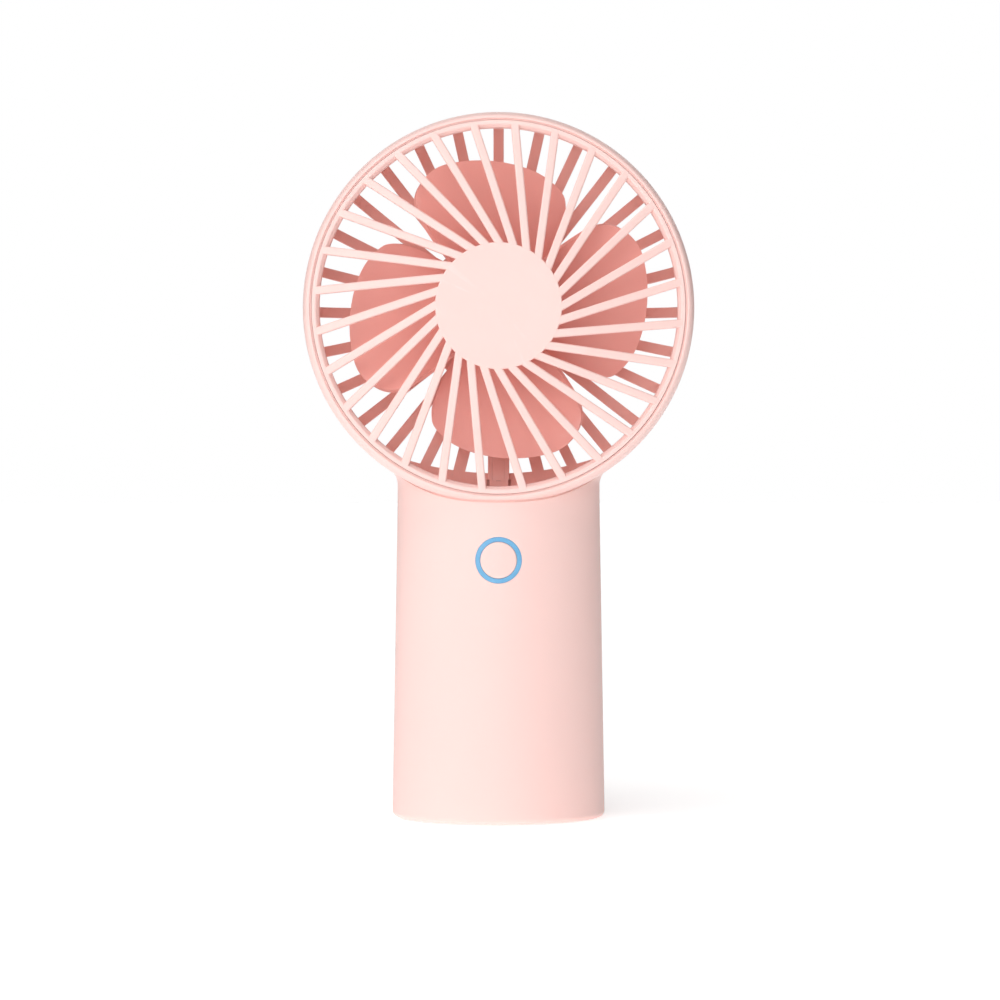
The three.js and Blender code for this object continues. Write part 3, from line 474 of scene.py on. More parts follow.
def head_drum():
    """The round wall of the head, with the ledge that the grille's ring sits in."""
    inner = RING_RADIUS + SEAM
    edge = [
        (inner + LIP_EDGE * (1 - math.cos(angle)), HEAD_FRONT + LIP_EDGE * (1 - math.sin(angle)))
        for angle in quarter(5)
    ]
    lip = [lip_point(angle) for angle in quarter(18)[1:]]
    wall = HEAD_RADIUS - HEAD_WALL
    ledge = RING_RADIUS + RING_FIT
    depth = HEAD_FRONT + RING_DEPTH
    back = [
        (HEAD_RADIUS, HEAD_SPLIT - REAR_CHAMFER),
        (HEAD_RADIUS - REAR_CHAMFER, HEAD_SPLIT),
        (REBATE_RADIUS, HEAD_SPLIT),
        (REBATE_RADIUS, HEAD_SPLIT - REBATE_DEPTH),
        (wall, HEAD_SPLIT - REBATE_DEPTH),
        (wall, depth + LEDGE_THICKNESS),
        (ledge, depth),
        (ledge, HEAD_FRONT + SEAM_FLOOR),
        (inner, HEAD_FRONT + SEAM_FLOOR),
    ]
    return turned("drum", [*edge, *lip, *back])


def crease():
    """A cutter for the fine groove where the lip of the head meets the front of the handle."""
    steps = 72
    sides = 16
    tries = 4
    rings = []
    for k in range(-steps, steps + 1):
        turn = math.radians(CREASE_REACH * k / steps)
        radius = HEAD_RADIUS
        for _ in range(tries):
            depth = handle_front(radius * math.sin(turn), AXIS_Z - radius * math.cos(turn))
            radius = lip_radius(depth)
        ring = []
        for i in range(sides):
            angle = 2 * math.pi * i / sides
            out = radius + CREASE_RADIUS * math.cos(angle)
            y = depth + CREASE_RADIUS * math.sin(angle)
            ring.append((out * math.sin(turn), y, AXIS_Z - out * math.cos(turn)))
        rings.append(ring)
    return loft("crease", rings)


def guard_room():
    """Space for the guard behind the drum, cut from the top of the handle."""
    behind = GUARD_THICKNESS + GUARD_GAP
    back = []
    for angle in reversed(quarter(24)):
        radius = GUARD_RIM * math.sin(angle)
        back.append((radius, bowl(radius) + behind))
    outline = [
        (0, HEAD_SPLIT - REBATE_DEPTH),
        (REBATE_RADIUS, HEAD_SPLIT - REBATE_DEPTH),
        (REBATE_RADIUS, HEAD_SPLIT),
        (HEAD_RADIUS + GUARD_GAP, HEAD_SPLIT),
        (HEAD_RADIUS + GUARD_GAP, GUARD_FRONT + behind),
        *back,
    ]
    return turned("guard_room", outline)


def slot_cut(name, half_width, half_height, y0, y1, z):
    """A cutter with a stadium section that runs along Y."""
    radius = half_height * 0.98
    outline = rounded([
        (-half_width, -half_height, radius),
        (half_width, -half_height, radius),
        (half_width, half_height, radius),
        (-half_width, half_height, radius),
    ], 10)
    return loft(name, [[(p.x, y, z + p.y) for p in outline] for y in (y0, y1)])


def mould_line(name, points, x, width):
    """A thin upright cutter across the head from (radius, y) points, straight above the axis."""
    return loft(name, [
        [(x + side * width / 2, y, AXIS_Z + radius) for radius, y in points] for side in (-1, 1)
    ])


def handle_outside():
    """The handle as a solid block, up to the shoulder behind the head."""
    fillet = [BASE_CLEARANCE + BASE_FILLET * (1 - math.cos(angle)) for angle in quarter(8)]
    straight = stations(6, SHOULDER_START, 14)
    neck = stations(SHOULDER_START + 0.6, HANDLE_TOP, 34)
    return loft("shell", [handle_ring(z, 0) for z in [*fillet, *straight, *neck]])


def lip_line():
    """A cutter for the mould line over the top of the lip."""
    arc = quarter(12)
    outline = [lip_point(angle, -MOULD_LINE_DEPTH) for angle in arc]
    outline += [lip_point(angle, 1) for angle in reversed(arc)]
    return mould_line("line", outline, MOULD_LINE_X, MOULD_LINE_WIDTH)


def handle_hollows():
    """Cutters for the handle's cavity, its open foot, the button, the socket and the cable."""
    heights = [RIM_HEIGHT, *stations(8, CEILING - 4, 8), CEILING - 2, CEILING - 0.6, CEILING]
    return [
        loft("cavity", [handle_ring(z, HANDLE_WALL) for z in heights]),
        loft("mouth", [handle_ring(z, RIM_WALL) for z in (-1, RIM_HEIGHT + 0.1)]),
        tube("button_hole", LIGHT_RADIUS + BUTTON_GAP, 0, -25, -10, BUTTON_Z),
        slot_cut("usb_hole", USB_HOLE_HALF_WIDTH, USB_HOLE_HALF_HEIGHT, 10, 25, USB_Z),
        box("wire_way", (-2.2, 2.6, CEILING - 1), (2.2, 6.8, 92)),
    ]


def screw_x(node_name):
    """Place across the fan of an upright screw."""
    low, high = corners(node_name)
    return (low.x + high.x) / 2


def round_post(name, radius, bottom, top, sides, x):
    """A plain round post or pilot hole on the fan's middle plane."""
    outline = [(0, bottom), (radius, bottom), (radius, top), (0, top)]
    return upright(name, outline, sides, x)


def shell():
    """The handle and the head, one moulding, with its screw posts."""
    outside = handle_outside()
    bore = tube("bore", HEAD_RADIUS - HEAD_WALL, 0, -30, HEAD_SPLIT, AXIS_Z, HEAD_SIDES)
    combined(outside, [bore, guard_room()], "DIFFERENCE")
    combined(outside, [head_drum()], "UNION")
    combined(outside, [crease()], "DIFFERENCE")
    combined(outside, [lip_line()], "DIFFERENCE")
    combined(outside, handle_hollows(), "DIFFERENCE")
    places = [screw_x(name) for name in SCREWS]
    posts = [round_post("post", POST_RADIUS, RIM_HEIGHT, POST_TOP, 48, x) for x in places]
    pilots = [
        round_post("pilot", POST_PILOT, RIM_HEIGHT - 1, POST_TOP + 1, 32, x) for x in places
    ]
    combined(outside, posts, "UNION")
    return smooth(combined(outside, pilots, "DIFFERENCE"))


# ---------------------------------------------------------------- grille and guard
def grille_ring():
    """The ring round the grille, with a rounded front."""
    return turned("ring", rounded([
        (RING_FLAT_RADIUS, HEAD_FRONT, 0.5),
        (RING_RADIUS, HEAD_FRONT, 0.3),
        (RING_RADIUS, HEAD_FRONT + RING_DEPTH, 0),
        (RING_INNER_RADIUS + 0.5, HEAD_FRONT + RING_DEPTH, 0.2),
        (RING_INNER_RADIUS, HEAD_FRONT + RING_LIP_DEPTH, 0.4),
        (RING_INNER_RADIUS + 0.12, HEAD_FRONT + 0.9, 0.3),
    ]))


def grille_disc():
    """The plain disc in the grille's middle, hollow behind."""
    back = DISC_FRONT + DISC_THICKNESS
    floor_depth = back - DISC_HOLLOW
    return turned("disc", rounded([
        (0, DISC_FRONT, 0),
        (DISC_RADIUS, DISC_FRONT, 0.3),
        (DISC_RADIUS, back, 0.2),
        (DISC_RADIUS - DISC_WALL, back, 0.2),
        (DISC_RADIUS - DISC_WALL, floor_depth, 0.2),
        (0, floor_depth, 0),
    ]))


def spoke_front(radius):
    """Depth of the spokes' front faces, which stand just proud of the ring and the disc."""
    return dome(radius) + SPOKE_PROUD


def grille():
    """The front grille: straight spokes set off the axis, between a disc and a ring."""
    start = math.sqrt((DISC_RADIUS - 0.9) ** 2 - SPOKE_OFFSET ** 2)
    end = math.sqrt((RING_RADIUS - 0.5) ** 2 - SPOKE_OFFSET ** 2)
    section = bar_section(SPOKE_WIDTH, SPOKE_THICKNESS, 0.45, 0.3)
    reach = stations(start, end, 16)
    bars = [
        bar("spoke", SPOKE_START + 360 * k / SPOKES, SPOKE_OFFSET, reach, spoke_front, section)
        for k in range(SPOKES)
    ]
    whole = combined(joined(bars, "grille"), [grille_disc(), grille_ring()], "UNION")
    line = mould_line("line", [
        (RING_INNER_RADIUS - 1, HEAD_FRONT - 1),
        (RING_RADIUS + 1, HEAD_FRONT - 1),
        (RING_RADIUS + 1, HEAD_FRONT + MOULD_LINE_DEPTH),
        (RING_INNER_RADIUS - 1, HEAD_FRONT + MOULD_LINE_DEPTH),
    ], MOULD_LINE_X, MOULD_LINE_WIDTH)
    return smooth(combined(whole, [line], "DIFFERENCE"))


def foot_of_guard():
    """The solid part of the guard, where it stands on the handle."""
    radii = [BOSS_RADIUS, 30, *stations(36, GUARD_RIM, 14)]
    face = [(r, bowl(r) + FOOT_INSET) for r in radii]
    back = [(r, bowl(r) + GUARD_THICKNESS - FOOT_INSET) for r in reversed(radii)]
    skin = turned("foot", face + back)
    low = (-FOOT_HALF_WIDTH, -1, AXIS_Z - HEAD_RADIUS)
    block = box("block", low, (FOOT_HALF_WIDTH, 20, AXIS_Z))
    edge_z = AXIS_Z + FOOT_TOP + FOOT_EDGE_RADIUS
    window = tube("window", FOOT_EDGE_RADIUS, 0, -5, 25, edge_z, 512)
    combined(block, [window], "DIFFERENCE")
    return combined(skin, [block], "INTERSECT")


def guard_rim():
    """The guard's rim, with a spigot that goes into the back of the drum."""
    spigot_outer = HEAD_RADIUS - HEAD_WALL + GUARD_FIT
    spigot_inner = REBATE_RADIUS - GUARD_FIT
    seat = HEAD_SPLIT + 0.3
    spigot_end = HEAD_SPLIT - REBATE_DEPTH + 0.3
    return turned("rim", rounded([
        (GUARD_RIM, GUARD_FRONT, 0.1),
        (spigot_outer, seat, 0),
        (spigot_outer, spigot_end, 0.1),
        (spigot_inner, spigot_end, 0.1),
        (spigot_inner, seat, 0),
        (HEAD_RADIUS, seat, 0.2),
        (HEAD_RADIUS - 0.5, GUARD_FRONT + GUARD_THICKNESS, 0.9),
        (GUARD_RIM, GUARD_FRONT + GUARD_THICKNESS + 0.6, 0.5),
    ]))


def guard_boss():
    """The boss in the guard's middle, with the motor's seat and the rear cap's recess."""
    floor_depth = GUARD_HIGH.y - CAP_RECESS
    return turned("boss", rounded([
        (BOSS_BORE, MOTOR_SEAT, 0.2),
        (BOSS_RADIUS, MOTOR_SEAT, 0.5),
        (BOSS_RADIUS, GUARD_HIGH.y, 1.4),
        (CAP_RADIUS + CAP_GAP, GUARD_HIGH.y, 0.25),
        (CAP_RADIUS + CAP_GAP, floor_depth, 0.2),
        (BOSS_BORE, floor_depth, 0.2),
    ]), 160)


def guard_bars():
    """The radial bars; the two next to the bottom one are wider."""
    radii = [BOSS_RADIUS - 0.9, 26, 31, *stations(35, 43, 5), *stations(43.8, GUARD_RIM - 0.15, 8)]
    section = bar_section(BAR_WIDTH, GUARD_THICKNESS, *BAR_EDGES)
    bars = [
        bar("bar", 90 + 360 * k / SPOKES, 0, radii, bowl, section)
        for k in range(SPOKES) if abs(k - SPOKES // 2) != 1
    ]
    wide = bar_section(NEXT_BAR_WIDTH, GUARD_THICKNESS, *BAR_EDGES)
    for side in (-1, 1):
        bars.append(bar("bar", 270 + side * NEXT_BAR_ANGLE, 0, radii, bowl, wide))
    return joined(bars, "guard")


def duct_front(radius):
    """Depth of the wire duct's front surface at a radius."""
    return bowl(radius) - DUCT_RISE


def groove_front(radius):
    """Depth at which the cutter for the duct's groove starts."""
    return duct_front(radius) - 1


def duct():
    """The wire duct, raised in front of the bottom bar."""
    section = bar_section(DUCT_WIDTH, DUCT_RISE + 0.5, 0.25, 0.1)
    radii = [BOSS_RADIUS - 0.9, *stations(24, 44, 12), 45.2]
    return bar("duct", 270, 0, radii, duct_front, section)


def duct_hollows():
    """Cutters for the duct's groove, the cable's way down, and the notches beside its foot."""
    section = bar_section(DUCT_BORE, DUCT_RISE + 1, 0.05, 0.3)
    radii = [BOSS_RADIUS - 1.5, *stations(24, DUCT_END - 1, 12), DUCT_END - 0.1]
    groove = bar("groove", 270, 0, radii, groove_front, section)
    low = (-DUCT_BORE / 2, 2.8, AXIS_Z - 49)
    drop = box("drop", low, (DUCT_BORE / 2, 6.4, AXIS_Z - 41.4))
    notches = []
    for side in (-1, 1):
        x = side * DUCT_WIDTH / 2
        corner = (x - 0.3, -3, AXIS_Z + NOTCH_LOW)
        end = (x + 0.45, bowl(43) + NOTCH_DEPTH, AXIS_Z + NOTCH_HIGH)
        notches.append(box("notch", corner, end))
    return groove, drop, notches


def motor_holes():
    """Cutters for the three screws that hold the motor."""
    holes = []
    for angle in (30, 150, 270):
        x = MOTOR_SCREW_CIRCLE * math.cos(math.radians(angle))
        z = AXIS_Z + MOTOR_SCREW_CIRCLE * math.sin(math.radians(angle))
        holes.append(tube("hole", MOTOR_SCREW_HOLE, 0, 0, 20, z, 32, x))
    return holes


def guard():
    """The rear guard: a bowl of bars between a rim and a boss, with a foot and a wire duct."""
    whole = guard_bars()
    combined(whole, [foot_of_guard(), duct(), guard_rim(), guard_boss()], "UNION")
    groove, drop, notches = duct_hollows()
    return smooth(combined(whole, [groove, drop, *motor_holes(), *notches], "DIFFERENCE"))


def duct_lid():
    """The lid over the wire duct's groove."""
    section = bar_section(DUCT_BORE - 0.08, DUCT_LID, 0.05, 0.05)
    radii = [BOSS_RADIUS + 0.4, *stations(24, DUCT_END - 0.15, 12)]
    return smooth(bar("duct_lid", 270, 0, radii, duct_front, section))


def rear_cover():
    """The cap behind the motor, slightly raised in its middle."""
    edge = rounded([
        (0, CAP_LOW.y, 0),
        (CAP_RADIUS, CAP_LOW.y, 0.1),
        (CAP_RADIUS, CAP_HIGH.y - 0.5, 0.35),
        (CAP_RADIUS - 1.2, CAP_HIGH.y - 0.12, 0.5),
        (0, CAP_HIGH.y, 0),
    ])
    return smooth(turned("rear_cover", edge, 128), 25)


# ---------------------------------------------------------------- impeller
def spline(points, share):
    """A smooth curve through the points, at a share of the way along their list."""
    last = len(points) - 1
    place = share * last
    i = min(int(place), last - 1)
    t = place - i
    p = [Vector(points[min(max(k, 0), last)]) for k in range(i - 1, i + 3)]
    return 0.5 * (
        2 * p[1]
        + (p[2] - p[0]) * t
        + (2 * p[0] - 5 * p[1] + 4 * p[2] - p[3]) * t ** 2
        + (3 * p[1] - p[0] - 3 * p[2] + p[3]) * t ** 3
    )


def blade(turn):
    """One blade as a thin curved sheet with rounded edges."""
    across = 14
    along = 40
    points = []
    for i in range(across + 1):
        u = i / across
        for j in range(along + 1):
            share, tip = spline(BLADE_TIP, j / along)
            radius = mix(HUB_RADIUS - 0.9, tip, u)
            leading = mix(*BLADE_LEADING_ANGLES, u)
            trailing = mix(*BLADE_TRAILING_ANGLES, u)
            angle = math.radians(mix(leading, trailing, share) + turn)
            y = mix(BLADE_BACK, BLADE_FRONT, share) + BLADE_CAMBER * math.sin(math.pi * share)
            points.append((radius * math.cos(angle), y, AXIS_Z + radius * math.sin(angle)))
    piece = solid("blade", points, grid_faces(across + 1, along + 1))
    thick = piece.modifiers.new("thick", "SOLIDIFY")
    thick.thickness = BLADE_THICKNESS * MM
    thick.offset = 0
    round_edges = piece.modifiers.new("round_edges", "BEVEL")
    round_edges.width = BLADE_EDGE * MM
    round_edges.segments = 3
    round_edges.limit_method = "ANGLE"
    round_edges.angle_limit = math.radians(50)
    return baked(piece)


def fan_wheel():
    """The impeller: a hollow hub with its blades."""
    hub = turned("fan_wheel", rounded([
        (0, HUB_FRONT, 0),
        (HUB_RADIUS, HUB_FRONT, 1.6),
        (HUB_RADIUS, HUB_BACK, 0.25),
        (HUB_RADIUS - HUB_WALL, HUB_BACK, 0.25),
        (HUB_RADIUS - HUB_WALL, HUB_FRONT + HUB_WALL, 0.4),
        (0, HUB_FRONT + HUB_WALL, 0),
    ]), 160)
    blades = joined([blade(360 * k / BLADES) for k in range(BLADES)], "blades")
    return smooth(combined(hub, [blades], "UNION"))


# ---------------------------------------------------------------- button, light and base
def plug(name, outer, inner, edge, lift, back):
    """A round plug whose face follows the handle's front, with rounded edges.
    The back is (radius, y) points from the middle or bore outwards."""
    sides = 128
    middle = stations(outer - edge, inner + edge if inner > 0 else 0, 10)
    face = [(outer, edge), (outer - 0.3 * edge, 0.3 * edge), *[(radius, 0) for radius in middle]]
    if inner > 0:
        face += [(inner + 0.3 * edge, 0.3 * edge), (inner, edge)]
    points = []
    for i, (radius, depth) in enumerate([*face, *back]):
        for k in range(sides):
            angle = 2 * math.pi * k / sides
            x = radius * math.cos(angle)
            z = BUTTON_Z + radius * math.sin(angle)
            y = depth + lift + handle_front(x, z) if i < len(face) else depth
            points.append((x, y, z))
    return solid(name, points, grid_faces(len(face) + len(back), sides, True, True))


def push_button():
    """The button's cap, with a flange behind that keeps it in."""
    outer = LIGHT_BORE - BUTTON_GAP / 2
    return smooth(plug("push_button", outer, 0, 0.25, 0.02, [
        (0, BUTTON_HIGH.y),
        (BUTTON_FLANGE, BUTTON_HIGH.y),
        (BUTTON_FLANGE, BUTTON_FLANGE_FRONT),
        (outer, BUTTON_FLANGE_FRONT),
    ]), 40)


def glow_ring():
    """The light guide round the button, with a collar that stops it inside the handle."""
    outer = LIGHT_RADIUS + BUTTON_GAP * 0.6
    collar = LIGHT_HIGH.x
    return smooth(plug("glow_ring", outer, LIGHT_BORE, 0.12, 0.03, [
        (LIGHT_BORE, LIGHT_HIGH.y),
        (outer, LIGHT_HIGH.y),
        (outer, LIGHT_COLLAR_BACK),
        (collar, LIGHT_COLLAR_BACK),
        (collar, LIGHT_COLLAR_FRONT),
        (outer, LIGHT_COLLAR_FRONT),
    ]), 40)


def oval(half_width, half_depth, z):
    """Points round an ellipse at a height."""
    angles = [2 * math.pi * k / HANDLE_SIDES for k in range(HANDLE_SIDES)]
    return [(half_width * math.cos(a), half_depth * math.sin(a), z) for a in angles]


def plate_post(x, y, radius, top):
    """A round post that stands on the base plate, inside the handle."""
    outline = rounded([
        (0, RIM_HEIGHT - 1, 0),
        (radius, RIM_HEIGHT - 1, 0),
        (radius, top, 0.2),
        (0, top, 0),
    ])
    return upright("post", outline, 48, x, y)


def screw_well(x, bottom):
    """A cutter for a base screw's counterbore and hole."""
    outline = [
        (0, -1),
        (2.75, -1),
        (2.5, bottom + 0.3),
        (2.5, 2.2),
        (1.3, 2.2),
        (1.3, 6),
        (0, 6),
    ]
    return upright("well", outline, 48, x)


def foot_plate():
    """The base plate, with a recess for the pad, two wells for screws and four posts."""
    half_width = PLATE_HIGH.x
    half_depth = PLATE_HIGH.y
    bottom = PLATE_LOW.z
    edge = 0.25
    plate = loft("foot_plate", [
        oval(half_width - edge, half_depth - edge, bottom),
        oval(half_width, half_depth, bottom + edge),
        oval(half_width, half_depth, RIM_HEIGHT - PLATE_GAP),
    ])
    recess = loft("recess", [oval(PAD_HIGH.x + 0.25, PAD_HIGH.y + 0.25, z) for z in (0, 1.7)])
    posts = [plate_post(x, 5, 1.8, 5.8) for x in (-7, 7)]
    posts += [plate_post(x, 0, 2, PLATE_HIGH.z) for x in (-12, 12)]
    combined(plate, posts, "UNION")
    wells = [screw_well(screw_x(name), bottom) for name in SCREWS]
    return smooth(combined(plate, [recess, *wells], "DIFFERENCE"))


def foot_pad():
    """The pad under the base, with three shallow oval grooves."""
    half_width = PAD_HIGH.x
    half_depth = PAD_HIGH.y
    top = PAD_HIGH.z
    groove = 0.35
    chamfer = 0.3
    rings = [
        oval(half_width, half_depth, top),
        oval(half_width, half_depth, chamfer),
        oval(half_width - chamfer, half_depth - chamfer, 0),
    ]
    for inset in (2.6, 5.2, 7.8):
        for less, z in ((0, 0), (0.3, groove), (0.7, groove), (1.0, 0)):
            rings.append(oval(half_width - inset - less, half_depth - inset - less, z))
    return smooth(loft("foot_pad", rings), 35)


def rectangle(x, half_x, half_y, z):
    """Corners of an upright-facing rectangle about a point on the middle plane."""
    signs = ((-1, -1), (1, -1), (1, 1), (-1, 1))
    return [(x + half_x * across, half_y * along, z) for across, along in signs]


def foot_screw(name, node_name):
    """A pan-head screw with a cross recess, head down."""
    low, high = corners(node_name)
    x = screw_x(node_name)
    seat = low.z + 1.1
    outline = rounded([
        (0, low.z, 0),
        (1.5, low.z + 0.05, 0.4),
        (2.1, seat - 0.35, 0.3),
        (2.1, seat, 0.1),
        (0.75, seat, 0.1),
        (0.75, high.z - 0.6, 0.1),
        (0.3, high.z, 0.1),
        (0, high.z, 0),
    ])
    body = upright(name, outline, 64, x)
    cutters = []
    for half_x, half_y in ((1.25, 0.26), (0.26, 1.25)):
        wide = rectangle(x, half_x, half_y, low.z - 0.3)
        narrow = rectangle(x, half_x * 0.45, half_y * 0.7, low.z + 0.8)
        cutters.append(loft("cutter", [wide, narrow]))
    return smooth(combined(body, cutters, "DIFFERENCE"))


def charging_port():
    """A pressed metal socket with its tongue."""
    half_width = USB_HIGH.x
    half_height = (USB_HIGH.z - USB_LOW.z) / 2
    inner_width = half_width - USB_METAL
    inner_height = half_height - USB_METAL
    body = slot_cut("charging_port", half_width, half_height, USB_LOW.y, USB_HIGH.y, USB_Z)
    mouth = slot_cut("mouth", inner_width, inner_height, USB_LOW.y + 1.2, 20, USB_Z)
    low = (-3.2, USB_LOW.y + 0.8, USB_Z - 0.35)
    tongue = box("tongue", low, (3.2, USB_HIGH.y - 1, USB_Z + 0.35))
    combined(body, [mouth], "DIFFERENCE")
    return smooth(combined(body, [tongue], "UNION"))


# ---------------------------------------------------------------- materials
def material(name):
    """A new material and its empty node tree."""
    made = bpy.data.materials.new(name)
    made.use_nodes = True
    made.node_tree.nodes.clear()
    return made, made.node_tree


def node(tree, kind, **values):
    """A new node with its settings."""
    made = tree.nodes.new(kind)
    for name, value in values.items():
        setattr(made, name, value)
    return made


def noise(tree, scale, detail=3.0, roughness=0.55, stretch=(1, 1, 1)):
    """Noise over the object's own coordinates; scale is in features per metre."""
    place = node(tree, "ShaderNodeTexCoord")
    sizes = node(tree, "ShaderNodeMapping")
    sizes.inputs["Scale"].default_value = stretch
    made = node(tree, "ShaderNodeTexNoise")
    made.inputs["Scale"].default_value = scale
    made.inputs["Detail"].default_value = detail
    made.inputs["Roughness"].default_value = roughness
    tree.links.new(place.outputs["Object"], sizes.inputs["Vector"])
    tree.links.new(sizes.outputs["Vector"], made.inputs["Vector"])
    return made.outputs["Fac"]


def ramp(tree, source, start, end, low, high):
    """Maps a value from start..end to low..high."""
    made = node(tree, "ShaderNodeMapRange")
    made.inputs["From Min"].default_value = start
    made.inputs["From Max"].default_value = end
    made.inputs["To Min"].default_value = low
    made.inputs["To Max"].default_value = high
    tree.links.new(source, made.inputs["Value"])
    return made.outputs["Result"]


def blend(tree, share, first, second):
    """A colour between two constants by a share."""
    made = node(tree, "ShaderNodeMix", data_type="RGBA")
    made.inputs["A"].default_value = (*first, 1)
    made.inputs["B"].default_value = (*second, 1)
    tree.links.new(share, made.inputs["Factor"])
    return made.outputs["Result"]


def tint(tree, share, colour, second):
    """A colour socket blended towards a constant by a share."""
    made = node(tree, "ShaderNodeMix", data_type="RGBA")
    made.inputs["B"].default_value = (*second, 1)
    tree.links.new(colour, made.inputs["A"])
    tree.links.new(share, made.inputs["Factor"])
    return made.outputs["Result"]


def bump(tree, height, distance, below=None):
    """A normal bent by a height, in metres at most; a second bump can lie below it."""
    made = node(tree, "ShaderNodeBump")
    made.inputs["Distance"].default_value = distance
    tree.links.new(height, made.inputs["Height"])
    if below is not None:
        tree.links.new(below, made.inputs["Normal"])
    return made.outputs["Normal"]


def edges(tree):
    """1 on convex edges and 0 on flats and in hollows."""
    shape = node(tree, "ShaderNodeNewGeometry")
    return ramp(tree, shape.outputs["Pointiness"], 0.505, 0.56, 0, 1)


def shade(colour, factor):
    """A colour made darker or lighter."""
    return tuple(channel * factor for channel in colour)


def principled(tree, base, rough, normal, **constants):
    """The surface from its colour, roughness and normal; constants name further inputs."""
    shader = node(tree, "ShaderNodeBsdfPrincipled")
    tree.links.new(base, shader.inputs["Base Color"])
    tree.links.new(rough, shader.inputs["Roughness"])
    tree.links.new(normal, shader.inputs["Normal"])
    for name, value in constants.items():
        shader.inputs[name.replace("_", " ")].default_value = value
    finish(tree, shader)
    return shader


def finish(tree, shader):
    """Puts the shader on the material's surface."""
    out = node(tree, "ShaderNodeOutputMaterial")
    tree.links.new(shader.outputs[0], out.inputs["Surface"])


def plastic(name, colour, roughness, grain=0.00002):
    """Moulded plastic: fine satin grain, faint mottling, rubbed edges and a few scuffs."""
    made, tree = material(name)
    mottle = ramp(tree, noise(tree, 60, 2), 0.35, 0.65, 0, 1)
    base = blend(tree, mottle, shade(colour, 0.993), shade(colour, 1.0))
    specks = ramp(tree, noise(tree, 2600, 2), 0.62, 0.75, 0, 0.25)
    base = tint(tree, specks, base, shade(colour, 0.93))
    worn = node(tree, "ShaderNodeMath", operation="MULTIPLY")
    tree.links.new(edges(tree), worn.inputs[0])
    tree.links.new(ramp(tree, noise(tree, 240, 4), 0.4, 0.7, 0, 0.5), worn.inputs[1])
    base = tint(tree, worn.outputs["Value"], base, tuple(mix(c, 1, 0.25) for c in colour))
    rough = ramp(tree, noise(tree, 320, 5, 0.65), 0.3, 0.7, roughness - 0.05, roughness + 0.06)
    texture = bump(tree, noise(tree, 5200, 2, 0.7), grain)
    waves = bump(tree, noise(tree, 90, 1), grain * 1.5, texture)
    principled(
        tree, base, rough, waves,
        Specular_IOR_Level=0.42,
        Subsurface_Weight=0.06,
        Subsurface_Radius=(1.0, 0.55, 0.45),
        Subsurface_Scale=0.0012,
    )
    return made


def metal(name, colour, roughness, stretch=(1, 1, 1), scale=1800, depth=0.00001):
    """Metal with fine tool marks along one direction, smudges and lighter convex edges."""
    made, tree = material(name)
    smudge = ramp(tree, noise(tree, 150, 4), 0.35, 0.7, 0, 1)
    base = blend(tree, smudge, colour, shade(colour, 0.82))
    # Convex edges are made lighter than flats and hollows.
    base = tint(tree, edges(tree), base, tuple(min(c * 1.15, 1) for c in colour))
    marks = noise(tree, scale, 3, 0.6, stretch)
    rough = ramp(tree, noise(tree, 500, 4), 0.3, 0.7, roughness - 0.07, roughness + 0.1)
    principled(tree, base, rough, bump(tree, marks, depth), Metallic=1.0)
    return made


def matt(name, colour, roughness, scale, depth, second=0.8):
    """Foam, rubber, ferrite, card and lacquer: a rough body with uneven colour."""
    made, tree = material(name)
    patches = ramp(tree, noise(tree, scale * 0.2, 3), 0.3, 0.7, 0, 1)
    base = blend(tree, patches, shade(colour, second), colour)
    rough = ramp(tree, noise(tree, scale * 0.5, 3), 0.3, 0.7, roughness - 0.06, roughness + 0.06)
    principled(tree, base, rough, bump(tree, noise(tree, scale, 4, 0.7), depth))
    return made


def layered_steel():
    """Stamped sheets stacked along the motor's axis, with dark lines between them."""
    made, tree = material("laminated_steel")
    place = node(tree, "ShaderNodeTexCoord")
    stripes = node(tree, "ShaderNodeTexWave", bands_direction="Y", wave_profile="SIN")
    stripes.inputs["Scale"].default_value = 640
    stripes.inputs["Distortion"].default_value = 0.4
    tree.links.new(place.outputs["Object"], stripes.inputs["Vector"])
    lines = ramp(tree, stripes.outputs["Fac"], 0.1, 0.5, 0, 1)
    base = blend(tree, lines, (0.08, 0.08, 0.085), (0.42, 0.42, 0.43))
    rough = ramp(tree, noise(tree, 700, 3), 0.3, 0.7, 0.38, 0.55)
    principled(tree, base, rough, bump(tree, lines, 0.00005), Metallic=0.9)
    return made


def wound_copper():
    """Enamelled wire wound round a tooth: fine raised turns, with painted shade darkening the line between them.
    """
    made, tree = material("copper_wire")
    place = node(tree, "ShaderNodeTexCoord")
    turns = node(tree, "ShaderNodeTexWave", wave_type="RINGS", rings_direction="Y")
    turns.inputs["Scale"].default_value = 900
    turns.inputs["Distortion"].default_value = 0.6
    tree.links.new(place.outputs["Object"], turns.inputs["Vector"])
    ridges_and_groove_shade = ramp(tree, turns.outputs["Fac"], 0, 1, 0, 1)
    # Darker colour between the turns: painted shade in the grooves.
    base = blend(tree, ridges_and_groove_shade, (0.22, 0.07, 0.025), (0.62, 0.24, 0.09))
    rough = ramp(tree, noise(tree, 800, 3), 0.3, 0.7, 0.28, 0.42)
    principled(tree, base, rough, bump(tree, ridges_and_groove_shade, 0.00012), Metallic=0.85, Coat_Weight=0.4)
    return made


def glowing_light():
    """A milky light guide, lit evenly from inside with slight cloudiness."""
    made, tree = material("light_guide")
    cloud = ramp(tree, noise(tree, 420, 3), 0.3, 0.7, 0, 1)
    glow = blend(tree, cloud, (0.11, 0.33, 0.55), (0.15, 0.38, 0.60))
    rough = ramp(tree, noise(tree, 600, 3), 0.3, 0.7, 0.3, 0.42)
    shader = principled(
        tree, glow, rough, bump(tree, noise(tree, 3000, 2), 0.00001),
        Emission_Strength=0.3,
        Subsurface_Weight=0.2,
        Subsurface_Scale=0.001,
    )
    tree.links.new(glow, shader.inputs["Emission Color"])
    return made


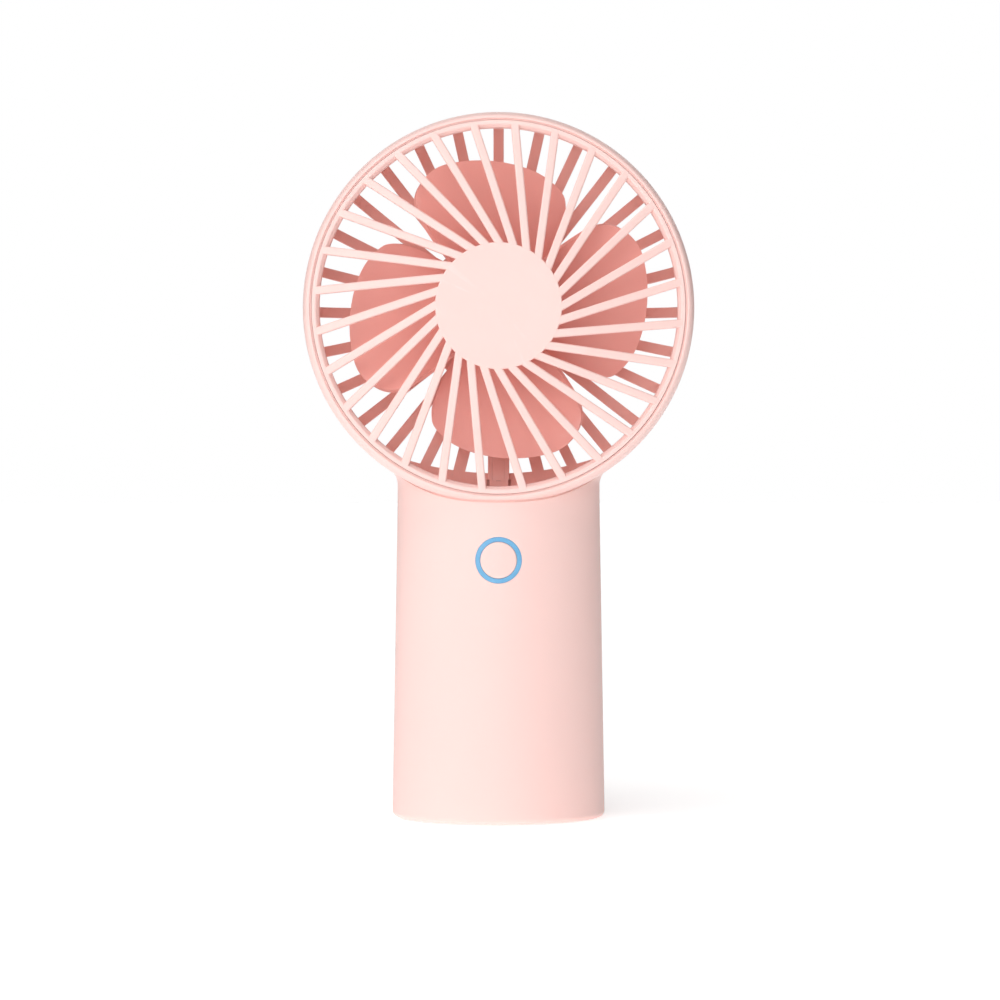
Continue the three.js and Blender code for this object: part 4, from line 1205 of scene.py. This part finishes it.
def circuit_card():
    """Green lacquered board with faint copper tracks below the lacquer."""
    made, tree = material("circuit_board")
    place = node(tree, "ShaderNodeTexCoord")
    tracks = node(tree, "ShaderNodeTexBrick")
    tracks.inputs["Scale"].default_value = 420
    tracks.inputs["Mortar Size"].default_value = 0.03
    tree.links.new(place.outputs["Object"], tracks.inputs["Vector"])
    share = ramp(tree, tracks.outputs["Fac"], 0, 1, 0, 0.75)
    mottle = ramp(tree, noise(tree, 350, 3), 0.3, 0.7, 0, 1)
    base = blend(tree, mottle, (0.008, 0.075, 0.03), (0.014, 0.115, 0.05))
    base = tint(tree, share, base, (0.05, 0.22, 0.09))
    rough = ramp(tree, noise(tree, 500, 3), 0.3, 0.7, 0.34, 0.5)
    principled(tree, base, rough, bump(tree, share, 0.00004), Coat_Weight=0.5)
    return made


BLUSH = (0.985, 0.684, 0.638)
CORAL = (0.95, 0.45, 0.395)
# The same coral plastic as CORAL, made lighter: painted light for parts that sit in shade behind the grille and
# blades.
CORAL_GUARD_PAINTED_LIGHT = (0.98, 0.57, 0.51)
MATERIALS = {
    "blush_plastic": plastic("blush_plastic", BLUSH, 0.42),
    "coral_plastic": plastic("coral_plastic", CORAL, 0.45),
    "coral_guard_painted_light": plastic("coral_guard_painted_light", CORAL_GUARD_PAINTED_LIGHT, 0.45),
    "white_plastic": plastic("white_plastic", (0.80, 0.80, 0.77), 0.5),
    "light_guide": glowing_light(),
    "steel": metal("steel", (0.56, 0.57, 0.58), 0.3),
    "laminated_steel": layered_steel(),
    "ferrite": matt("ferrite", (0.045, 0.045, 0.05), 0.65, 2600, 0.00003),
    "copper_wire": wound_copper(),
    "bronze": metal("bronze", (0.50, 0.27, 0.09), 0.42, (1, 1, 1), 3200, 0.00002),
    "circuit_board": circuit_card(),
    "chip_black": matt("chip_black", (0.012, 0.012, 0.014), 0.45, 3500, 0.00001),
    "light_chip": matt("light_chip", (0.75, 0.68, 0.35), 0.4, 2500, 0.00001),
    "cell_can": matt("cell_can", (0.06, 0.30, 0.27), 0.35, 900, 0.00001, 0.9),
    "nickel": metal("nickel", (0.60, 0.58, 0.52), 0.28, (1, 8, 1), 900, 0.00002),
    "wire_black": matt("wire_black", (0.015, 0.015, 0.017), 0.5, 2200, 0.00001),
    "wire_red": matt("wire_red", (0.45, 0.02, 0.02), 0.5, 2200, 0.00001),
    "foam": matt("foam", (0.27, 0.27, 0.28), 0.92, 1700, 0.00025),
    "pad_rubber": matt("pad_rubber", (0.72, 0.42, 0.38), 0.8, 2600, 0.00003),
}


def build_pieces():
    """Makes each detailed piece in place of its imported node."""
    blush = MATERIALS["blush_plastic"]
    coral = MATERIALS["coral_plastic"]
    guard_coral_painted_light = MATERIALS["coral_guard_painted_light"]
    steel = MATERIALS["steel"]
    settled(shell(), blush, "housing", "blush_plastic", "body_shell")
    settled(grille(), blush, "housing", "blush_plastic", "front_grille")
    # The guard, duct lid and rear cap get the lighter coral: painted light on the coral plastic.
    settled(guard(), guard_coral_painted_light, "housing", "coral_plastic", "rear_guard")
    settled(duct_lid(), guard_coral_painted_light, "housing", "coral_plastic", "duct_cover")
    settled(rear_cover(), guard_coral_painted_light, "housing", "coral_plastic", "rear_cap")
    settled(fan_wheel(), coral, "rotor", "coral_plastic", "impeller")
    settled(push_button(), blush, "button", "blush_plastic", "button_cap")
    settled(glow_ring(), MATERIALS["light_guide"], "housing", "light_guide", "light_ring")
    settled(foot_plate(), blush, "housing", "blush_plastic", "base_cap")
    settled(foot_pad(), MATERIALS["pad_rubber"], "housing", "pad_rubber", "base_pad")
    for name in SCREWS:
        screw = foot_screw(name.replace("base", "foot"), name)
        settled(screw, steel, "housing", "steel", name)
    settled(charging_port(), steel, "housing", "steel", "usb_socket")


def dress_packed_nodes():
    """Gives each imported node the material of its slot."""
    for part in frame["record"]["subparts"]:
        shown = frame["nodes"][part["node"]]
        shown.data.materials.clear()
        shown.data.materials.append(MATERIALS[part["material_slot"]])


# ---------------------------------------------------------------- studio
def floor():
    """A wide, pale matt floor, which glows a little so that it stays white."""
    made, tree = material("studio_floor")
    mottle = ramp(tree, noise(tree, 3, 2), 0.3, 0.7, 0, 1)
    shader = node(tree, "ShaderNodeBsdfPrincipled")
    shader.inputs["Roughness"].default_value = 0.8
    shader.inputs["Emission Color"].default_value = (1, 1, 1, 1)
    shader.inputs["Emission Strength"].default_value = 0.48
    tree.links.new(blend(tree, mottle, (0.93, 0.93, 0.93), (0.95, 0.95, 0.95)),
                   shader.inputs["Base Color"])
    finish(tree, shader)
    reach = 6000
    thickness = 40
    mesh = box("floor", (-reach, -reach, -thickness), (reach, reach, 0))
    mesh.data.materials.append(made)


def sky():
    """A white backdrop, which lights the fan only faintly, and a little more from its left."""
    world = bpy.data.worlds.new("studio")
    bpy.context.scene.world = world
    world.use_nodes = True
    tree = world.node_tree
    tree.nodes.clear()
    direction = node(tree, "ShaderNodeTexCoord")
    parts = node(tree, "ShaderNodeSeparateXYZ")
    tree.links.new(direction.outputs["Generated"], parts.inputs["Vector"])
    lit = node(tree, "ShaderNodeBackground")
    tree.links.new(ramp(tree, parts.outputs["X"], -0.8, 0.8, 0.05, 0.02), lit.inputs["Strength"])
    seen = node(tree, "ShaderNodeBackground")
    seen.inputs["Color"].default_value = (1, 1, 1, 1)
    lit.inputs["Color"].default_value = (1, 1, 1, 1)
    ray = node(tree, "ShaderNodeLightPath")
    choice = node(tree, "ShaderNodeMixShader")
    tree.links.new(ray.outputs["Is Camera Ray"], choice.inputs["Fac"])
    tree.links.new(lit.outputs["Background"], choice.inputs[1])
    tree.links.new(seen.outputs["Background"], choice.inputs[2])
    out = node(tree, "ShaderNodeOutputWorld")
    tree.links.new(choice.outputs["Shader"], out.inputs["Surface"])


FAN_MIDDLE = 0.09
CAMERA_PLACE = (0.00035, -0.6435, 0.08725)
CAMERA_LENS = 92.4
CAMERA_SHIFT = -0.031


def toward(azimuth, elevation, distance=1.0):
    """A place seen from the middle of the fan: azimuth 0 is in front, and 90 on the right."""
    turn = math.radians(azimuth)
    rise = math.radians(elevation)
    level = math.cos(rise) * distance
    return Vector((math.sin(turn) * level, -math.cos(turn) * level, math.sin(rise) * distance))


def sun(name, azimuth, elevation, strength, spread):
    """A distant light from that direction, as soft as its spread in degrees."""
    data = bpy.data.lights.new(name, "SUN")
    data.energy = strength
    data.angle = math.radians(spread)
    made = bpy.data.objects.new(name, data)
    made.rotation_euler = toward(azimuth, elevation).to_track_quat("Z", "Y").to_euler()
    bpy.context.scene.collection.objects.link(made)


def softbox(name, azimuth, elevation, distance, size, watts):
    """A rectangular lamp (width, height) that faces the middle of the fan."""
    data = bpy.data.lights.new(name, "AREA")
    data.shape = "RECTANGLE"
    data.size = size[0]
    data.size_y = size[1]
    data.energy = watts
    made = bpy.data.objects.new(name, data)
    made.location = toward(azimuth, elevation, distance) + Vector((0, 0, FAN_MIDDLE))
    made.rotation_euler = toward(azimuth, elevation).to_track_quat("Z", "Y").to_euler()
    bpy.context.scene.collection.objects.link(made)


def camera():
    """A camera level with the fan's middle, straight in front of it."""
    data = bpy.data.cameras.new("camera")
    data.lens = CAMERA_LENS
    data.sensor_width = 36
    data.shift_y = CAMERA_SHIFT
    data.clip_start = 0.01
    made = bpy.data.objects.new("camera", data)
    made.location = CAMERA_PLACE
    made.rotation_euler = (math.radians(90), 0, 0)
    bpy.context.scene.collection.objects.link(made)
    bpy.context.scene.camera = made


def studio():
    """The floor, the backdrop, the lights and the camera."""
    floor()
    sky()
    sun("key", -30, 70, 1.0, 40)
    sun("fill", 0, 25, 0.56, 40)
    sun("side", -60, 20, 0.45, 60)
    sun("back", 180, 30, 0.8, 60)
    softbox("front", -16, 10, 1.3, (0.8, 0.8), 4.0)
    softbox("edge", -50, 6, 1.2, (0.25, 0.9), 1.3)
    bpy.context.scene.view_settings.view_transform = "Standard"
    camera()


dress_packed_nodes()
build_pieces()
studio()
